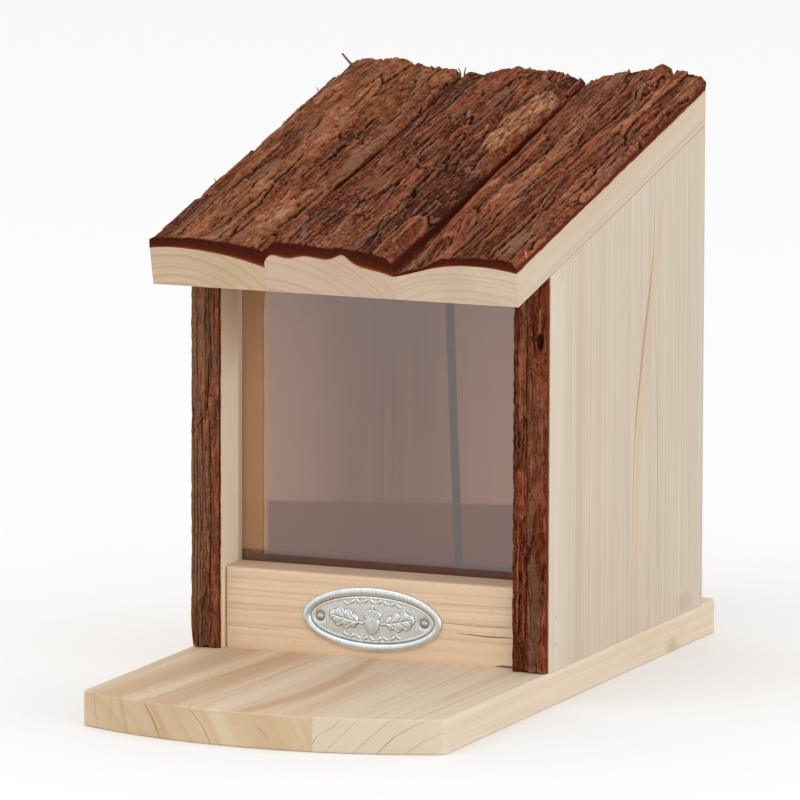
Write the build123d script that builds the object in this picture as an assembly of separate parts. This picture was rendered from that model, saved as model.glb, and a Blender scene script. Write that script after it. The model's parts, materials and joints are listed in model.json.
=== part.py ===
"""Squirrel feeder: a timber hopper on a bow-fronted base, with a clear pane and a bark roof that lifts."""
from build123d import *
import math
import os

os.makedirs("parts", exist_ok=True)

# Lengths are millimetres. X runs left to right, Y from front to back and Z up.
# The pieces are drawn with Y zero at the front edges of the posts and Z zero on top of the base.

# Box
box_width = 165.0
box_depth = 180.5
front_height = 170.5
board_thick = 13.5
post_depth = 18.0

# Roof
roof_slope_degrees = 13.3
roof_front_overhang = 36.0
roof_left_overhang = 2.4
left_plank_width = 52.6
middle_plank_width = 58.6
plank_crown = 17.2
bark_crown = 22.5
flake_crown = 25.4
flake_width = 12.0
flake_length = 34.0
flake_inset = 18.0
roof_bark_proud = 0.5
furrow_width = 3.0
furrow_depth = 3.0
lid_gap = 0.3

# Base
base_thick = 15.0
base_reach = 114.5
base_bow = 18.5
base_rear_lip = 18.0
base_corner_round = 3.0
base_edge_round = 0.8
narrow_plank_width = 53.0

# Front board, pane and post bark
front_board_height = 35.0
front_board_thick = 18.0
front_board_setback = 3.4
front_board_end_gap = 0.4
front_board_round = 1.2
pane_thick = 2.0
pane_setback = 22.0
pane_gap = 0.2
groove_depth = 4.0
post_bark_thick = 5.0
post_bark_overlap = 2.8

# Oval emblem plate and its two pins
emblem_width = 64.4
emblem_height = 27.8
emblem_centre_height = 16.6
emblem_field_thick = 0.6
emblem_rim_thick = 1.5
emblem_rim_width = 3.0
emblem_rim_round = 0.5
emblem_relief = 0.5
acorn_width = 6.4
acorn_height = 10.0
leaf_length = 13.0
leaf_width = 4.6
pin_spacing = 48.2
pin_head_width = 3.2
pin_head_height = 1.1
pin_shank_width = 1.4
pin_length = 10.0

# Brads through the posts into the front board
brad_width = 1.4
brad_length = 26.0
low_brad_height = 11.0
high_brad_height = 23.0
brad_setback = 8.0

# Screws up through the base
base_screw_head = 7.0
base_screw_shank = 3.5
base_screw_length = 35.0
base_screw_front_setback = 45.0
base_screw_rear_setback = 145.0
base_screw_back_inset = 42.5

# Hinges
hinge_width = 30.0
hinge_leaf_height = 12.0
hinge_leaf_thick = 1.2
hinge_knuckle_width = 4.4
hinge_pin_width = 2.2
hinge_pin_head_width = 3.2
hinge_pin_head_length = 0.8
hinge_inset = 37.5
hinge_stand_off = 0.3
knuckle_gap = 0.15
hinge_bore_gap = 0.05
hinge_leaf_round = 1.5
hinge_screw_head = 4.6
hinge_screw_shank = 2.2
hinge_screw_length = 11.0
hinge_screw_spacing = 17.0
hinge_screw_height = 7.6

# Keyhole hanger on the back
hanger_width = 18.0
hanger_height = 50.0
hanger_thick = 1.5
hanger_corner_round = 3.0
hanger_drop = 37.2
keyhole_entry_width = 8.5
keyhole_slot_width = 4.4
keyhole_slot_rise = 9.0
hanger_pocket_margin = 2.0
hanger_pocket_depth = 6.0
hanger_screw_head = 6.0
hanger_screw_shank = 3.0
hanger_screw_length = 12.0
hanger_screw_spacing = 38.0

# One clearance round every fixing, and one overrun for every cut
fixing_gap = 0.1
cut_over = 5.0

# Outlines as shares: across the plank or strip, then up to its crown or out to its thickness
left_plank_shares = [(0, 0.953), (0.25, 1), (0.58, 0.907), (0.75, 0.817), (0.92, 0.68), (1, 0.614)]
middle_plank_shares = [
    (0, 0.75), (0.07, 0.955), (0.16, 0.898), (0.32, 0.977), (0.54, 0.967),
    (0.62, 1.065), (0.67, 0.937), (0.86, 0.71), (1, 0.576),
]
right_plank_shares = [(0, 0.576), (0.21, 0.762), (0.42, 0.936), (0.61, 0.985), (0.8, 0.965), (1, 0.863)]
# A bark outline is given at three stations, as shares of the way from the front of the roof to the rear,
# and each of its points is the share across and then the height at each station
bark_station_share = [0, 0.28, 1]
left_bark_shares = [
    (0, 0.907, 0.893, 0.849), (0.06, 0.973, 0.951, 0.884), (0.17, 1, 0.978, 0.933),
    (0.354, 1, 0.991, 0.978), (0.537, 0.982, 0.973, 0.951), (0.669, 0.956, 0.924, 0.867),
    (0.834, 0.907, 0.88, 0.827), (0.96, 0.844, 0.809, 0.782), (1, 0.818, 0.764, 0.689),
]
middle_bark_shares = [
    (0, 0.791, 0.747, 0.622), (0.077, 1.031, 0.924, 0.667), (0.152, 1.022, 0.96, 0.738),
    (0.302, 1.022, 0.982, 0.853), (0.488, 0.973, 0.964, 0.911), (0.572, 0.973, 0.969, 0.929),
    (0.705, 0.96, 0.956, 0.924), (0.824, 0.929, 0.916, 0.898), (0.957, 0.822, 0.791, 0.751),
    (1, 0.729, 0.711, 0.702),
]
right_bark_shares = [
    (0, 0.471, 0.511, 0.711), (0.092, 0.573, 0.733, 0.818), (0.208, 0.649, 0.844, 0.902),
    (0.277, 0.702, 0.871, 0.942), (0.347, 0.822, 0.898, 0.969), (0.4, 0.898, 0.916, 0.987),
    (0.589, 0.947, 0.951, 1.044), (0.743, 0.951, 0.956, 1.031), (0.894, 0.938, 0.942, 1),
    (0.956, 0.902, 0.902, 0.956), (1, 0.764, 0.782, 0.844),
]
# The main furrows in the bark run from one place to another, each as shares across and along the sheet
left_furrow_shares = [
    (0.478, 0.01, 0.535, 0.28), (0.535, 0.315, 0.516, 0.467), (0.234, 0.234, 0.252, 0.405),
    (0.714, 0.413, 0.723, 0.719), (0.911, 0.067, 0.93, 0.324), (0.168, 0.467, 0.158, 0.611),
]
middle_furrow_shares = [
    (0.722, 0.207, 0.602, 0.638), (0.432, 0.8, 0.517, 0.953), (0.295, 0.378, 0.346, 0.674),
    (0.38, 0.189, 0.363, 0.315), (0.75, 0.03, 0.71, 0.18),
]
right_furrow_shares = [
    (0.453, 0.018, 0.48, 0.288), (0.497, 0.315, 0.541, 0.575), (0.559, 0.566, 0.647, 0.863),
    (0.762, 0.018, 0.78, 0.342), (0.259, 0.44, 0.374, 0.71), (0.4, 0.728, 0.444, 0.917),
    (0.877, 0.252, 0.894, 0.593),
]
left_post_bark_shares = [
    (0, 0.6), (0.08, 0.92), (0.3, 0.85), (0.45, 1), (0.6, 0.92), (0.66, 0.68), (0.85, 0.7), (1, 0.62),
]
right_post_bark_shares = [
    (0, 0.55), (0.1, 0.78), (0.26, 0.7), (0.34, 0.92), (0.5, 0.8), (0.62, 1), (0.85, 0.95), (1, 0.74),
]
screw_tip_share = 1.2
recess_length_share = 0.55
recess_width_share = 0.13
recess_depth_share = 0.24
knuckle_count = 3
acorn_cap_share = 0.42
acorn_cap_width_share = 1.25
leaf_offset_share = 0.72
leaf_tilt_degrees = 12.0
furrow_over_share = 2.0

# Worked out from the sizes above
half_width = box_width / 2
inner_half = half_width - board_thick
slope = math.radians(roof_slope_degrees)
base_rear = box_depth + base_rear_lip
roof_left = -half_width - roof_left_overhang
left_seam = roof_left + left_plank_width
right_seam = left_seam + middle_plank_width
hinge_axis_y = box_depth + hinge_stand_off + hinge_knuckle_width / 2


def roof_line(y):
    """Height of the roof's underside above the base at a distance behind the posts' front edges."""
    return front_height + y * math.tan(slope)


hinge_axis_z = roof_line(box_depth) - lid_gap / 2
hanger_centre_height = roof_line(box_depth) - hanger_drop
roof_along = Vector(0, math.cos(slope), math.sin(slope))
roof_plane = Plane(
    origin=(0, -roof_front_overhang, roof_line(-roof_front_overhang)), x_dir=(1, 0, 0), z_dir=-roof_along
)
roof_run = (roof_front_overhang + box_depth) / math.cos(slope)
roof_stock = roof_run + flake_crown * math.tan(slope) + cut_over

# The finished feeder stands with its origin on the ground under the middle of its outline
middle_x = -roof_left_overhang / 2
middle_y = (base_rear - base_reach - base_bow) / 2


def block(x, y, z):
    """A box between the low and high places given on each axis."""
    size = (x[1] - x[0], y[1] - y[0], z[1] - z[0])
    return Pos(x[0], y[0], z[0]) * Box(*size, align=(Align.MIN, Align.MIN, Align.MIN))


def under_roof(x, y):
    """An upright board that stands on the base and stops just below the sloping roof."""
    tops = [roof_line(place) - lid_gap for place in y]
    outline = Polygon((y[0], 0), (y[1], 0), (y[1], tops[1]), (y[0], tops[0]), align=None)
    return Pos(x[0], 0, 0) * extrude(Plane.YZ * outline, amount=x[1] - x[0])


# Fixings

def screw(head, shank, length, grow=0.0):
    """A countersunk screw with its head's face at the origin and its shank down -Z; grow makes its hole."""
    head_r = head / 2 + grow
    shank_r = shank / 2 + grow
    head_depth = head_r - shank_r
    tip = shank * screw_tip_share
    outline = Polygon(
        (0, 0), (head_r, 0), (shank_r, -head_depth), (shank_r, tip - length), (0, -length - grow), align=None
    )
    body = revolve(Plane.XZ * outline, Axis.Z)
    if grow:
        return body + Pos(0, 0, cut_over / 2) * Cylinder(head_r, cut_over)
    arm = head * recess_length_share
    wide = head * recess_width_share
    deep = head * recess_depth_share
    for turn in (0, 90):
        body -= Rot(0, 0, turn) * Box(arm, wide, deep * 2)
    return body


def placed(shape, places, turn):
    """Copies of one shape, turned alike and set at several places."""
    return [Pos(*place) * turn * shape for place in places]


head_down = Rot(180, 0, 0)
head_back = Rot(-90, 0, 0)
head_front = Rot(90, 0, 0)

base_screw_places = [
    (side * (half_width - board_thick / 2), y, -base_thick)
    for side in (-1, 1)
    for y in (base_screw_front_setback, base_screw_rear_setback)
] + [
    (side * (half_width - base_screw_back_inset), box_depth - board_thick / 2, -base_thick)
    for side in (-1, 1)
]

hinge_centres = [side * (half_width - hinge_inset) for side in (-1, 1)]


def hinge_screw_places(level):
    """Screw places on the leaves below (-1) or above (1) the hinge line."""
    return [
        (centre + side * hinge_screw_spacing / 2, box_depth + hinge_leaf_thick,
         hinge_axis_z + level * hinge_screw_height)
        for centre in hinge_centres
        for side in (-1, 1)
    ]


hanger_screw_places = [
    (0, box_depth + hanger_thick, hanger_centre_height + side * hanger_screw_spacing / 2) for side in (-1, 1)
]
emblem_face_y = front_board_setback - emblem_field_thick
pin_places = [(side * pin_spacing / 2, emblem_face_y, emblem_centre_height) for side in (-1, 1)]


def base_screws(grow=0.0):
    one = screw(base_screw_head, base_screw_shank, base_screw_length, grow)
    return placed(one, base_screw_places, head_down)


def hinge_screws(level, grow=0.0):
    one = screw(hinge_screw_head, hinge_screw_shank, hinge_screw_length, grow)
    return placed(one, hinge_screw_places(level), head_back)


def hanger_screws(grow=0.0):
    one = screw(hanger_screw_head, hanger_screw_shank, hanger_screw_length, grow)
    return placed(one, hanger_screw_places, head_back)


def front_brads(grow=0.0):
    """Headless nails driven flush through each post into the ends of the front board."""
    pins = []
    for side in (-1, 1):
        for height in (low_brad_height, high_brad_height):
            length = brad_length + 2 * grow
            pin = Rot(0, 90, 0) * Cylinder(brad_width / 2 + grow, length)
            pins.append(Pos(side * (half_width - brad_length / 2), brad_setback, height) * pin)
    return pins


def emblem_pins(grow=0.0):
    """Dome-headed pins that hold the plate to the front board."""
    shank = Pos(0, 0, -pin_length / 2) * Cylinder(pin_shank_width / 2 + grow, pin_length + 2 * grow)
    if grow:
        return placed(shank, pin_places, head_front)
    head_r = pin_head_width / 2
    dome_r = (head_r ** 2 + pin_head_height ** 2) / (2 * pin_head_height)
    dome = Pos(0, 0, pin_head_height - dome_r) * Sphere(dome_r)
    dome &= Pos(0, 0, dome_r / 2) * Box(dome_r * 2, dome_r * 2, dome_r)
    return placed(shank + dome, pin_places, head_front)


# Base

def base_slab():
    """The whole bow-fronted base before it is parted at the glue line."""
    with BuildSketch() as outline:
        with BuildLine():
            ThreePointArc((-half_width, -base_reach), (0, -base_reach - base_bow), (half_width, -base_reach))
            Polyline(
                (half_width, -base_reach), (half_width, base_rear), (-half_width, base_rear),
                (-half_width, -base_reach),
            )
        make_face()
        fillet(outline.vertices(), base_corner_round)
    slab = extrude(outline.sketch, amount=-base_thick)
    rims = slab.faces().sort_by(Axis.Z)
    slab = fillet(rims[0].edges() + rims[-1].edges(), base_edge_round)
    for hole in base_screws(fixing_gap):
        slab -= hole
    return slab


def base_planks():
    seam = half_width - narrow_plank_width
    y = (-base_reach - base_bow - cut_over, base_rear + cut_over)
    z = (-base_thick - cut_over, cut_over)
    slab = base_slab()
    wide = slab & block((-half_width - cut_over, seam), y, z)
    narrow = slab & block((seam, half_width + cut_over), y, z)
    return wide, narrow


# Box

def post(side):
    """A square strip at the front of a side panel, with the brads' holes."""
    x = sorted((side * half_width, side * inner_half))
    strip = under_roof(x, (0, post_depth))
    for hole in front_brads(fixing_gap):
        strip -= hole
    return strip


def side_panel(side):
    """A side of the box, grooved down its inner face for the pane."""
    x = sorted((side * half_width, side * inner_half))
    panel = under_roof(x, (post_depth, box_depth))
    groove_x = sorted((side * (inner_half - cut_over), side * (inner_half + groove_depth)))
    groove_y = (pane_setback - pane_gap, pane_setback + pane_thick + pane_gap)
    panel -= block(groove_x, groove_y, (-cut_over, roof_line(box_depth)))
    for hole in base_screws(fixing_gap):
        panel -= hole
    return panel


def back_panel():
    panel = under_roof((-inner_half, inner_half), (box_depth - board_thick, box_depth))
    half_pocket = (keyhole_entry_width + hanger_pocket_margin) / 2
    low = hanger_centre_height - keyhole_slot_rise / 2 - half_pocket
    high = hanger_centre_height + keyhole_slot_rise / 2 + half_pocket
    pocket = block(
        (-half_pocket, half_pocket), (box_depth - hanger_pocket_depth, box_depth + cut_over), (low, high)
    )
    panel -= pocket
    for hole in base_screws(fixing_gap) + hinge_screws(-1, fixing_gap) + hanger_screws(fixing_gap):
        panel -= hole
    return panel


def front_board():
    """The low board between the posts, with eased front edges."""
    end = inner_half - front_board_end_gap
    y = (front_board_setback, front_board_setback + front_board_thick)
    board = block((-end, end), y, (0, front_board_height))
    front = board.faces().sort_by(Axis.Y)[0]
    eased = front.edges().filter_by(Axis.Z) + front.edges().filter_by(Axis.X).sort_by(Axis.Z)[-1:]
    board = fillet(eased, front_board_round)
    for hole in front_brads(fixing_gap) + emblem_pins(fixing_gap):
        board -= hole
    return board


def window_pane():
    """A clear sheet that drops into the side panels' grooves behind the front board."""
    end = inner_half + groove_depth - pane_gap
    y = (pane_setback, pane_setback + pane_thick)
    return block((-end, end), y, (0, roof_line(pane_setback) - lid_gap - pane_gap))


def post_bark(side, shares):
    """A strip of bark on the front of a post, ridged along its length."""
    overlap = post_bark_overlap if side > 0 else 0
    x_low = side * inner_half - overlap if side > 0 else -half_width
    width = board_thick + overlap
    front = [(x_low + across * width, -out * post_bark_thick) for across, out in shares]
    outline = Polygon((x_low, 0), *front, (x_low + width, 0), align=None)
    strip = extrude(outline, amount=roof_line(0))
    return strip & under_roof((x_low - cut_over, x_low + width + cut_over), (-post_bark_thick - cut_over, 0))


# Emblem plate

def oval(width, height, y_front, y_back):
    """An upright oval plate between two places along Y, centred on the front board's emblem."""
    face = Plane.XZ * Ellipse(width / 2, height / 2)
    return Pos(0, y_back, emblem_centre_height) * extrude(face, amount=y_back - y_front)


def emblem_motif(depth):
    """A plain acorn between two leaves, standing on the field of the plate."""
    cap_height = acorn_height * acorn_cap_share
    cap_centre = (acorn_height - cap_height) / 2
    drawing = Sketch() + Pos(0, -cap_height / 2) * Ellipse(acorn_width / 2, (acorn_height - cap_height) / 2)
    drawing += Pos(0, cap_centre - cap_height / 2) * Ellipse(
        acorn_width * acorn_cap_width_share / 2, cap_height / 2
    )
    for side in (-1, 1):
        offset = side * (acorn_width / 2 + leaf_length * leaf_offset_share)
        leaf = Ellipse(leaf_length / 2, leaf_width / 2)
        drawing += Pos(offset, 0) * Rot(0, 0, side * leaf_tilt_degrees) * leaf
    return extrude(Plane.XZ * drawing, amount=depth)


def emblem_plate():
    """A pressed oval plate: raised rim, lower field and a raised motif."""
    back = front_board_setback
    plate = oval(emblem_width, emblem_height, back - emblem_rim_thick, back)
    plate = fillet(plate.faces().sort_by(Axis.Y)[0].edges(), emblem_rim_round)
    inner = emblem_rim_width * 2
    plate -= oval(emblem_width - inner, emblem_height - inner, back - cut_over, emblem_face_y)
    plate += Pos(0, emblem_face_y, emblem_centre_height) * emblem_motif(emblem_relief)
    for hole in emblem_pins(fixing_gap):
        plate -= hole
    return plate


# Hinges

def knuckle_span(index):
    """Where a knuckle starts and ends along the hinge, from its centre."""
    pitch = hinge_width / knuckle_count
    start = -hinge_width / 2 + index * pitch
    low = start if index == 0 else start + knuckle_gap
    high = start + pitch if index == knuckle_count - 1 else start + pitch - knuckle_gap
    return low, high


def hinge_leaf(centre, level):
    """One leaf of a hinge: level -1 is screwed to the back panel, level 1 to the roof."""
    knuckle_r = hinge_knuckle_width / 2
    own = [index for index in range(knuckle_count) if (index % 2 == 0) == (level < 0)]
    clear = knuckle_r + hinge_stand_off
    y = (box_depth, box_depth + hinge_leaf_thick)
    x = (-hinge_width / 2, hinge_width / 2)
    z = sorted((level * clear, level * hinge_leaf_height))
    leaf = block(x, y, z)
    outer = leaf.faces().sort_by(Axis.Z)[-1 if level > 0 else 0]
    leaf = fillet(outer.edges().filter_by(Axis.Y), hinge_leaf_round)
    for index in own:
        low, high = knuckle_span(index)
        leaf += block((low, high), y, sorted((0, level * clear)))
        tube = Rot(0, 90, 0) * Cylinder(knuckle_r, high - low)
        tube = Pos((low + high) / 2, hinge_axis_y, 0) * tube
        leaf += tube
    bore = Rot(0, 90, 0) * Cylinder(hinge_pin_width / 2 + hinge_bore_gap, hinge_width + cut_over)
    leaf -= Pos(0, hinge_axis_y, 0) * bore
    leaf = Pos(centre, 0, hinge_axis_z) * leaf
    for hole in hinge_screws(level, fixing_gap):
        leaf -= hole
    return leaf


def hinge_pin(centre):
    length = hinge_width + 2 * hinge_pin_head_length
    pin = Rot(0, 90, 0) * Cylinder(hinge_pin_width / 2, length)
    head = Rot(0, 90, 0) * Cylinder(hinge_pin_head_width / 2, hinge_pin_head_length)
    for side in (-1, 1):
        pin += Pos(side * (hinge_width + hinge_pin_head_length) / 2, 0, 0) * head
    return Pos(centre, hinge_axis_y, hinge_axis_z) * pin


# Hanger

def hanger_plate():
    """A small plate with a keyhole, wide mouth below and slot above, over a pocket in the back panel."""
    flat = Plane.XZ * RectangleRounded(hanger_width, hanger_height, hanger_corner_round)
    plate = extrude(flat, amount=-hanger_thick)
    mouth = Cylinder(keyhole_entry_width / 2, cut_over * 2)
    tip = Cylinder(keyhole_slot_width / 2, cut_over * 2)
    low = -keyhole_slot_rise / 2
    plate -= Pos(0, 0, low) * Rot(90, 0, 0) * mouth
    plate -= Pos(0, 0, low + keyhole_slot_rise) * Rot(90, 0, 0) * tip
    half_slot = keyhole_slot_width / 2
    plate -= block((-half_slot, half_slot), (-cut_over, cut_over), (low, low + keyhole_slot_rise))
    plate = Pos(0, box_depth, hanger_centre_height) * plate
    for hole in hanger_screws(fixing_gap):
        plate -= hole
    return plate


# Roof

def along_roof(outline):
    """A closed outline in the roof's cross-section, run from the front cut past the rear."""
    return extrude(roof_plane * outline, amount=roof_stock, dir=roof_along)


def crown_curve(low, high, shares):
    """The rounded top of a roof plank, from its left edge to its right edge."""
    width = high - low
    return Spline(*[(low + across * width, up * plank_crown) for across, up in shares])


def trim_rear(slab):
    """Cuts a roof piece plumb, in line with the back of the box."""
    x = (-box_width, box_width)
    return slab - block(x, (box_depth, box_depth * 2), (0, front_height * 2))


def roof_plank(low, high, shares):
    top = crown_curve(low, high, shares)
    sides = Polyline(top @ 0, (low, 0), (high, 0), top @ 1)
    return along_roof(make_face(top + sides))


def bark_heights(bark_shares, station):
    """Points across a bark sheet and their heights, as shares, at a share of the way to the rear."""
    place = min(station, bark_station_share[-1])
    after = next(index for index, share in enumerate(bark_station_share) if share >= place and index)
    before = after - 1
    span = bark_station_share[after] - bark_station_share[before]
    part = (place - bark_station_share[before]) / span
    return [(row[0], row[1 + before] * (1 - part) + row[1 + after] * part) for row in bark_shares]


def furrow(start, width, bark_shares, ends):
    """A long V-shaped cut whose lowest point lies halfway along it, under the bark's surface."""
    places = []
    for across, along in (ends[:2], ends[2:], ((ends[0] + ends[2]) / 2, (ends[1] + ends[3]) / 2)):
        table = bark_heights(bark_shares, along)
        after = next(index for index, row in enumerate(table) if row[0] >= across and index)
        low, high = table[after - 1], table[after]
        part = (across - low[0]) / (high[0] - low[0])
        up = (low[1] * (1 - part) + high[1] * part) * bark_crown
        places.append(Vector(start + across * width, up, -along * roof_run))
    near, far, middle = places
    bottom = middle - Vector(0, furrow_depth, 0)
    half = Vector(furrow_width / 2, 0, 0)
    # The cut is widened about its lowest point, so that it stands clear of the surface
    mouth = (near, middle - half, far, middle + half)
    rim = [bottom + (corner - bottom) * furrow_over_share for corner in mouth]
    corners = [(bottom, rim[index], rim[index - 1]) for index in range(len(rim))]
    corners += [(rim[0], rim[1], rim[3]), (rim[2], rim[3], rim[1])]
    sides = [Face(Wire.make_polygon(face)) for face in corners]
    return roof_plane.location * Solid(Shell(sides))


def roof_bark(low, high, plank, plank_shares, bark_shares, furrow_shares, proud):
    """A sheet of bark that lies on a plank's rounded top, with its main furrows."""
    start = low - proud[0]
    width = high + proud[1] - start
    edge_heights = [plank_shares[end][1] * plank_crown for end in (0, -1)]
    sections = []
    for station in bark_station_share:
        heights = bark_heights(bark_shares, station)
        rough = [(start + across * width, up * bark_crown) for across, up in heights]
        outline = Polygon((start, edge_heights[0]), *rough, (start + width, edge_heights[1]), align=None)
        sections.append(Pos(*(roof_along * roof_stock * station)) * (roof_plane * outline))
    sheet = loft(sections, ruled=True) - plank
    for ends in furrow_shares:
        sheet -= furrow(start, width, bark_shares, ends)
    return sheet


def raised_flake():
    """A thick flake of bark that stands up near the rear of the right-hand plank."""
    centre = half_width - flake_inset
    low_z = plank_crown
    outline = Polygon(
        (centre - flake_width / 2, low_z), (centre + flake_width / 2, low_z),
        (centre + flake_width / 2, bark_crown), (centre, flake_crown), (centre - flake_width / 2, bark_crown),
        align=None,
    )
    flake = along_roof(outline)
    return flake & block((0, box_width), (box_depth - flake_length, box_depth), (0, front_height * 2))


def roof_pieces():
    edges = [roof_left, left_seam, right_seam, half_width]
    names = ["left", "middle", "right"]
    plank_tables = [left_plank_shares, middle_plank_shares, right_plank_shares]
    bark_tables = [left_bark_shares, middle_bark_shares, right_bark_shares]
    furrow_tables = [left_furrow_shares, middle_furrow_shares, right_furrow_shares]
    prouds = [(roof_bark_proud, 0), (0, 0), (0, roof_bark_proud)]
    pieces = {}
    for index, name in enumerate(names):
        low = edges[index]
        high = edges[index + 1]
        plank = roof_plank(low, high, plank_tables[index])
        bark = roof_bark(
            low, high, plank, plank_tables[index], bark_tables[index], furrow_tables[index], prouds[index]
        )
        if name == "right":
            bark += raised_flake() - plank
        for hole in hinge_screws(1, fixing_gap):
            plank -= hole
        pieces["roof_plank_" + name] = trim_rear(plank)
        pieces["roof_bark_" + name] = trim_rear(bark)
    return pieces


def all_pieces():
    """Every sub-part by name; a list is a set of like fixings kept in one file."""
    wide, narrow = base_planks()
    pieces = {
        "base_plank_wide": wide,
        "base_plank_narrow": narrow,
        "base_screws": base_screws(),
        "back_panel": back_panel(),
        "front_board": front_board(),
        "front_brads": front_brads(),
        "window_pane": window_pane(),
        "emblem_plate": emblem_plate(),
        "emblem_pins": emblem_pins(),
        "hinge_base_screws": hinge_screws(-1),
        "hinge_roof_screws": hinge_screws(1),
        "hanger_plate": hanger_plate(),
        "hanger_screws": hanger_screws(),
    }
    bark_tables = [left_post_bark_shares, right_post_bark_shares]
    for name, side, shares, centre in zip(["left", "right"], [-1, 1], bark_tables, hinge_centres):
        pieces["post_" + name] = post(side)
        pieces["post_bark_" + name] = post_bark(side, shares)
        pieces["side_panel_" + name] = side_panel(side)
        pieces["hinge_base_leaf_" + name] = hinge_leaf(centre, -1)
        pieces["hinge_roof_leaf_" + name] = hinge_leaf(centre, 1)
        pieces["hinge_pin_" + name] = hinge_pin(centre)
    pieces.update(roof_pieces())
    return pieces


to_ground = Pos(-middle_x, -middle_y, base_thick)
for name, piece in all_pieces().items():
    shape = Compound(piece) if isinstance(piece, list) else piece
    export_step(to_ground * shape, f"parts/{name}.step")
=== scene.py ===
"""Looks of the squirrel feeder: sawn pine boards, flaky bark, a half-mirror pane and zinc fittings."""
import json
import math

import bmesh
import bpy
import numpy as np
from mathutils import Matrix, Vector
from mathutils.bvhtree import BVHTree


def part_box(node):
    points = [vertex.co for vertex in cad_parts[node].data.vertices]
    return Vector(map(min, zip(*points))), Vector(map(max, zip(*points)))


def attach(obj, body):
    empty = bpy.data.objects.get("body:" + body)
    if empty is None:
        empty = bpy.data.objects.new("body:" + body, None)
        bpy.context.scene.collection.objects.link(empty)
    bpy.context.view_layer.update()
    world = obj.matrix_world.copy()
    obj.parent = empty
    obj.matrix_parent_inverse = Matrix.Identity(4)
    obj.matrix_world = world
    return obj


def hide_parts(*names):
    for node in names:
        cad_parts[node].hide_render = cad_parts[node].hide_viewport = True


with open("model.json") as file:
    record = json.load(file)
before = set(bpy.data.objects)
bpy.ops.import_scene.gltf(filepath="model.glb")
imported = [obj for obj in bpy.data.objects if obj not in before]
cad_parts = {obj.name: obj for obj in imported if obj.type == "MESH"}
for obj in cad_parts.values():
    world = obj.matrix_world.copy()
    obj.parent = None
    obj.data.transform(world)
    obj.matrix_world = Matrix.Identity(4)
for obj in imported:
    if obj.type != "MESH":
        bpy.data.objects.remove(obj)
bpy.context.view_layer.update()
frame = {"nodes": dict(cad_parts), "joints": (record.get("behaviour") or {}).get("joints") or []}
nodes = frame["nodes"]

MM = 0.001

# Camera, at the photograph's viewing angle
CAMERA_YAW = math.radians(22.7026)
CAMERA_PITCH = math.radians(9.0294)
CAMERA_ROLL = math.radians(0.16818)
CAMERA_PLACE = (1.6922, -4.0418, 0.8187)
CAMERA_LENS = 465.73

# Lamps: where each stands and how wide it is, in metres, and its power in watts
LAMPS = {"key": ((-0.6, -1.2, 2.0), 1.5, 6), "fill": ((2.3, -1.1, 0.45), 1.2, 9)}
LAMP_TARGET = Vector((0, 0, 0.1))
FLOOR_SIZE = 12
FLOOR_GREY = 0.93

# Places of the box in the frame, in metres
HINGE = Vector(frame["joints"][0]["pos_m"])
ROOF_SLOPE = math.radians(13.3)
LID_GAP = 0.3 * MM
BACK_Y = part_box("back_panel")[1].y
BASE_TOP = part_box("base_plank_wide")[1].z
MIDDLE_X = (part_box("post_left")[0].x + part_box("post_right")[1].x) / 2
ROOF_ALONG = Vector((0, math.cos(ROOF_SLOPE), math.sin(ROOF_SLOPE)))
ROOF_UP = Vector((0, -math.sin(ROOF_SLOPE), math.cos(ROOF_SLOPE)))
# The underside of the roof passes through this point at its rear
ROOF_REAR = Vector((0, BACK_Y, HINGE.z + LID_GAP / 2))
# How long the roof is along its slope, in mm
ROOF_RUN = (ROOF_REAR.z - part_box("roof_plank_left")[0].z) / math.sin(ROOF_SLOPE) / MM


# Repeatable noise

def hashed(across, along, seed):
    """Random numbers from 0 to 1, the same each run, for whole-number places."""
    value = across.astype(np.int64) * 374761393 + along.astype(np.int64) * 668265263 + seed * 144665
    value = (value ^ (value >> 13)) & 0xFFFFFFFF
    value = (value * 1274126177) & 0xFFFFFFFF
    value = value ^ (value >> 16)
    value = (value * 2246822519) & 0xFFFFFFFF
    return ((value ^ (value >> 13)) & 0xFFFFFF) / float(0x1000000)


def noise(across, along, seed):
    """Smooth noise from -1 to 1 with a unit grid."""
    low_a = np.floor(across)
    low_l = np.floor(along)
    part_a = across - low_a
    part_l = along - low_l
    part_a = part_a * part_a * (3 - 2 * part_a)
    part_l = part_l * part_l * (3 - 2 * part_l)
    near = hashed(low_a, low_l, seed) * (1 - part_a) + hashed(low_a + 1, low_l, seed) * part_a
    far = hashed(low_a, low_l + 1, seed) * (1 - part_a) + hashed(low_a + 1, low_l + 1, seed) * part_a
    return 2 * (near * (1 - part_l) + far * part_l) - 1


def layered(across, along, seed, layers=3):
    """Noise of several sizes, each half as large and as strong as the last."""
    total = 0
    for layer in range(layers):
        total = total + noise(across * 2 ** layer, along * 2 ** layer, seed + layer) / 2 ** layer
    return total / (2 - 2 / 2 ** layers)


def step(low, high, value):
    """0 below low, 1 above high and smooth between."""
    share = np.clip((value - low) / (high - low), 0, 1)
    return share * share * (3 - 2 * share)


def blurred(grid, reach_across, reach_along):
    """The grid averaged over a window that reaches so many places each way."""
    for axis, reach in ((0, reach_across), (1, reach_along)):
        pads = [(reach + 1, reach) if axis == index else (0, 0) for index in (0, 1)]
        total = np.cumsum(np.pad(grid, pads, mode="edge"), axis=axis)
        places = np.arange(grid.shape[axis])
        far = np.take(total, places + 2 * reach + 1, axis=axis)
        grid = (far - np.take(total, places, axis=axis)) / (2 * reach + 1)
    return grid


# Mesh building

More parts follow.
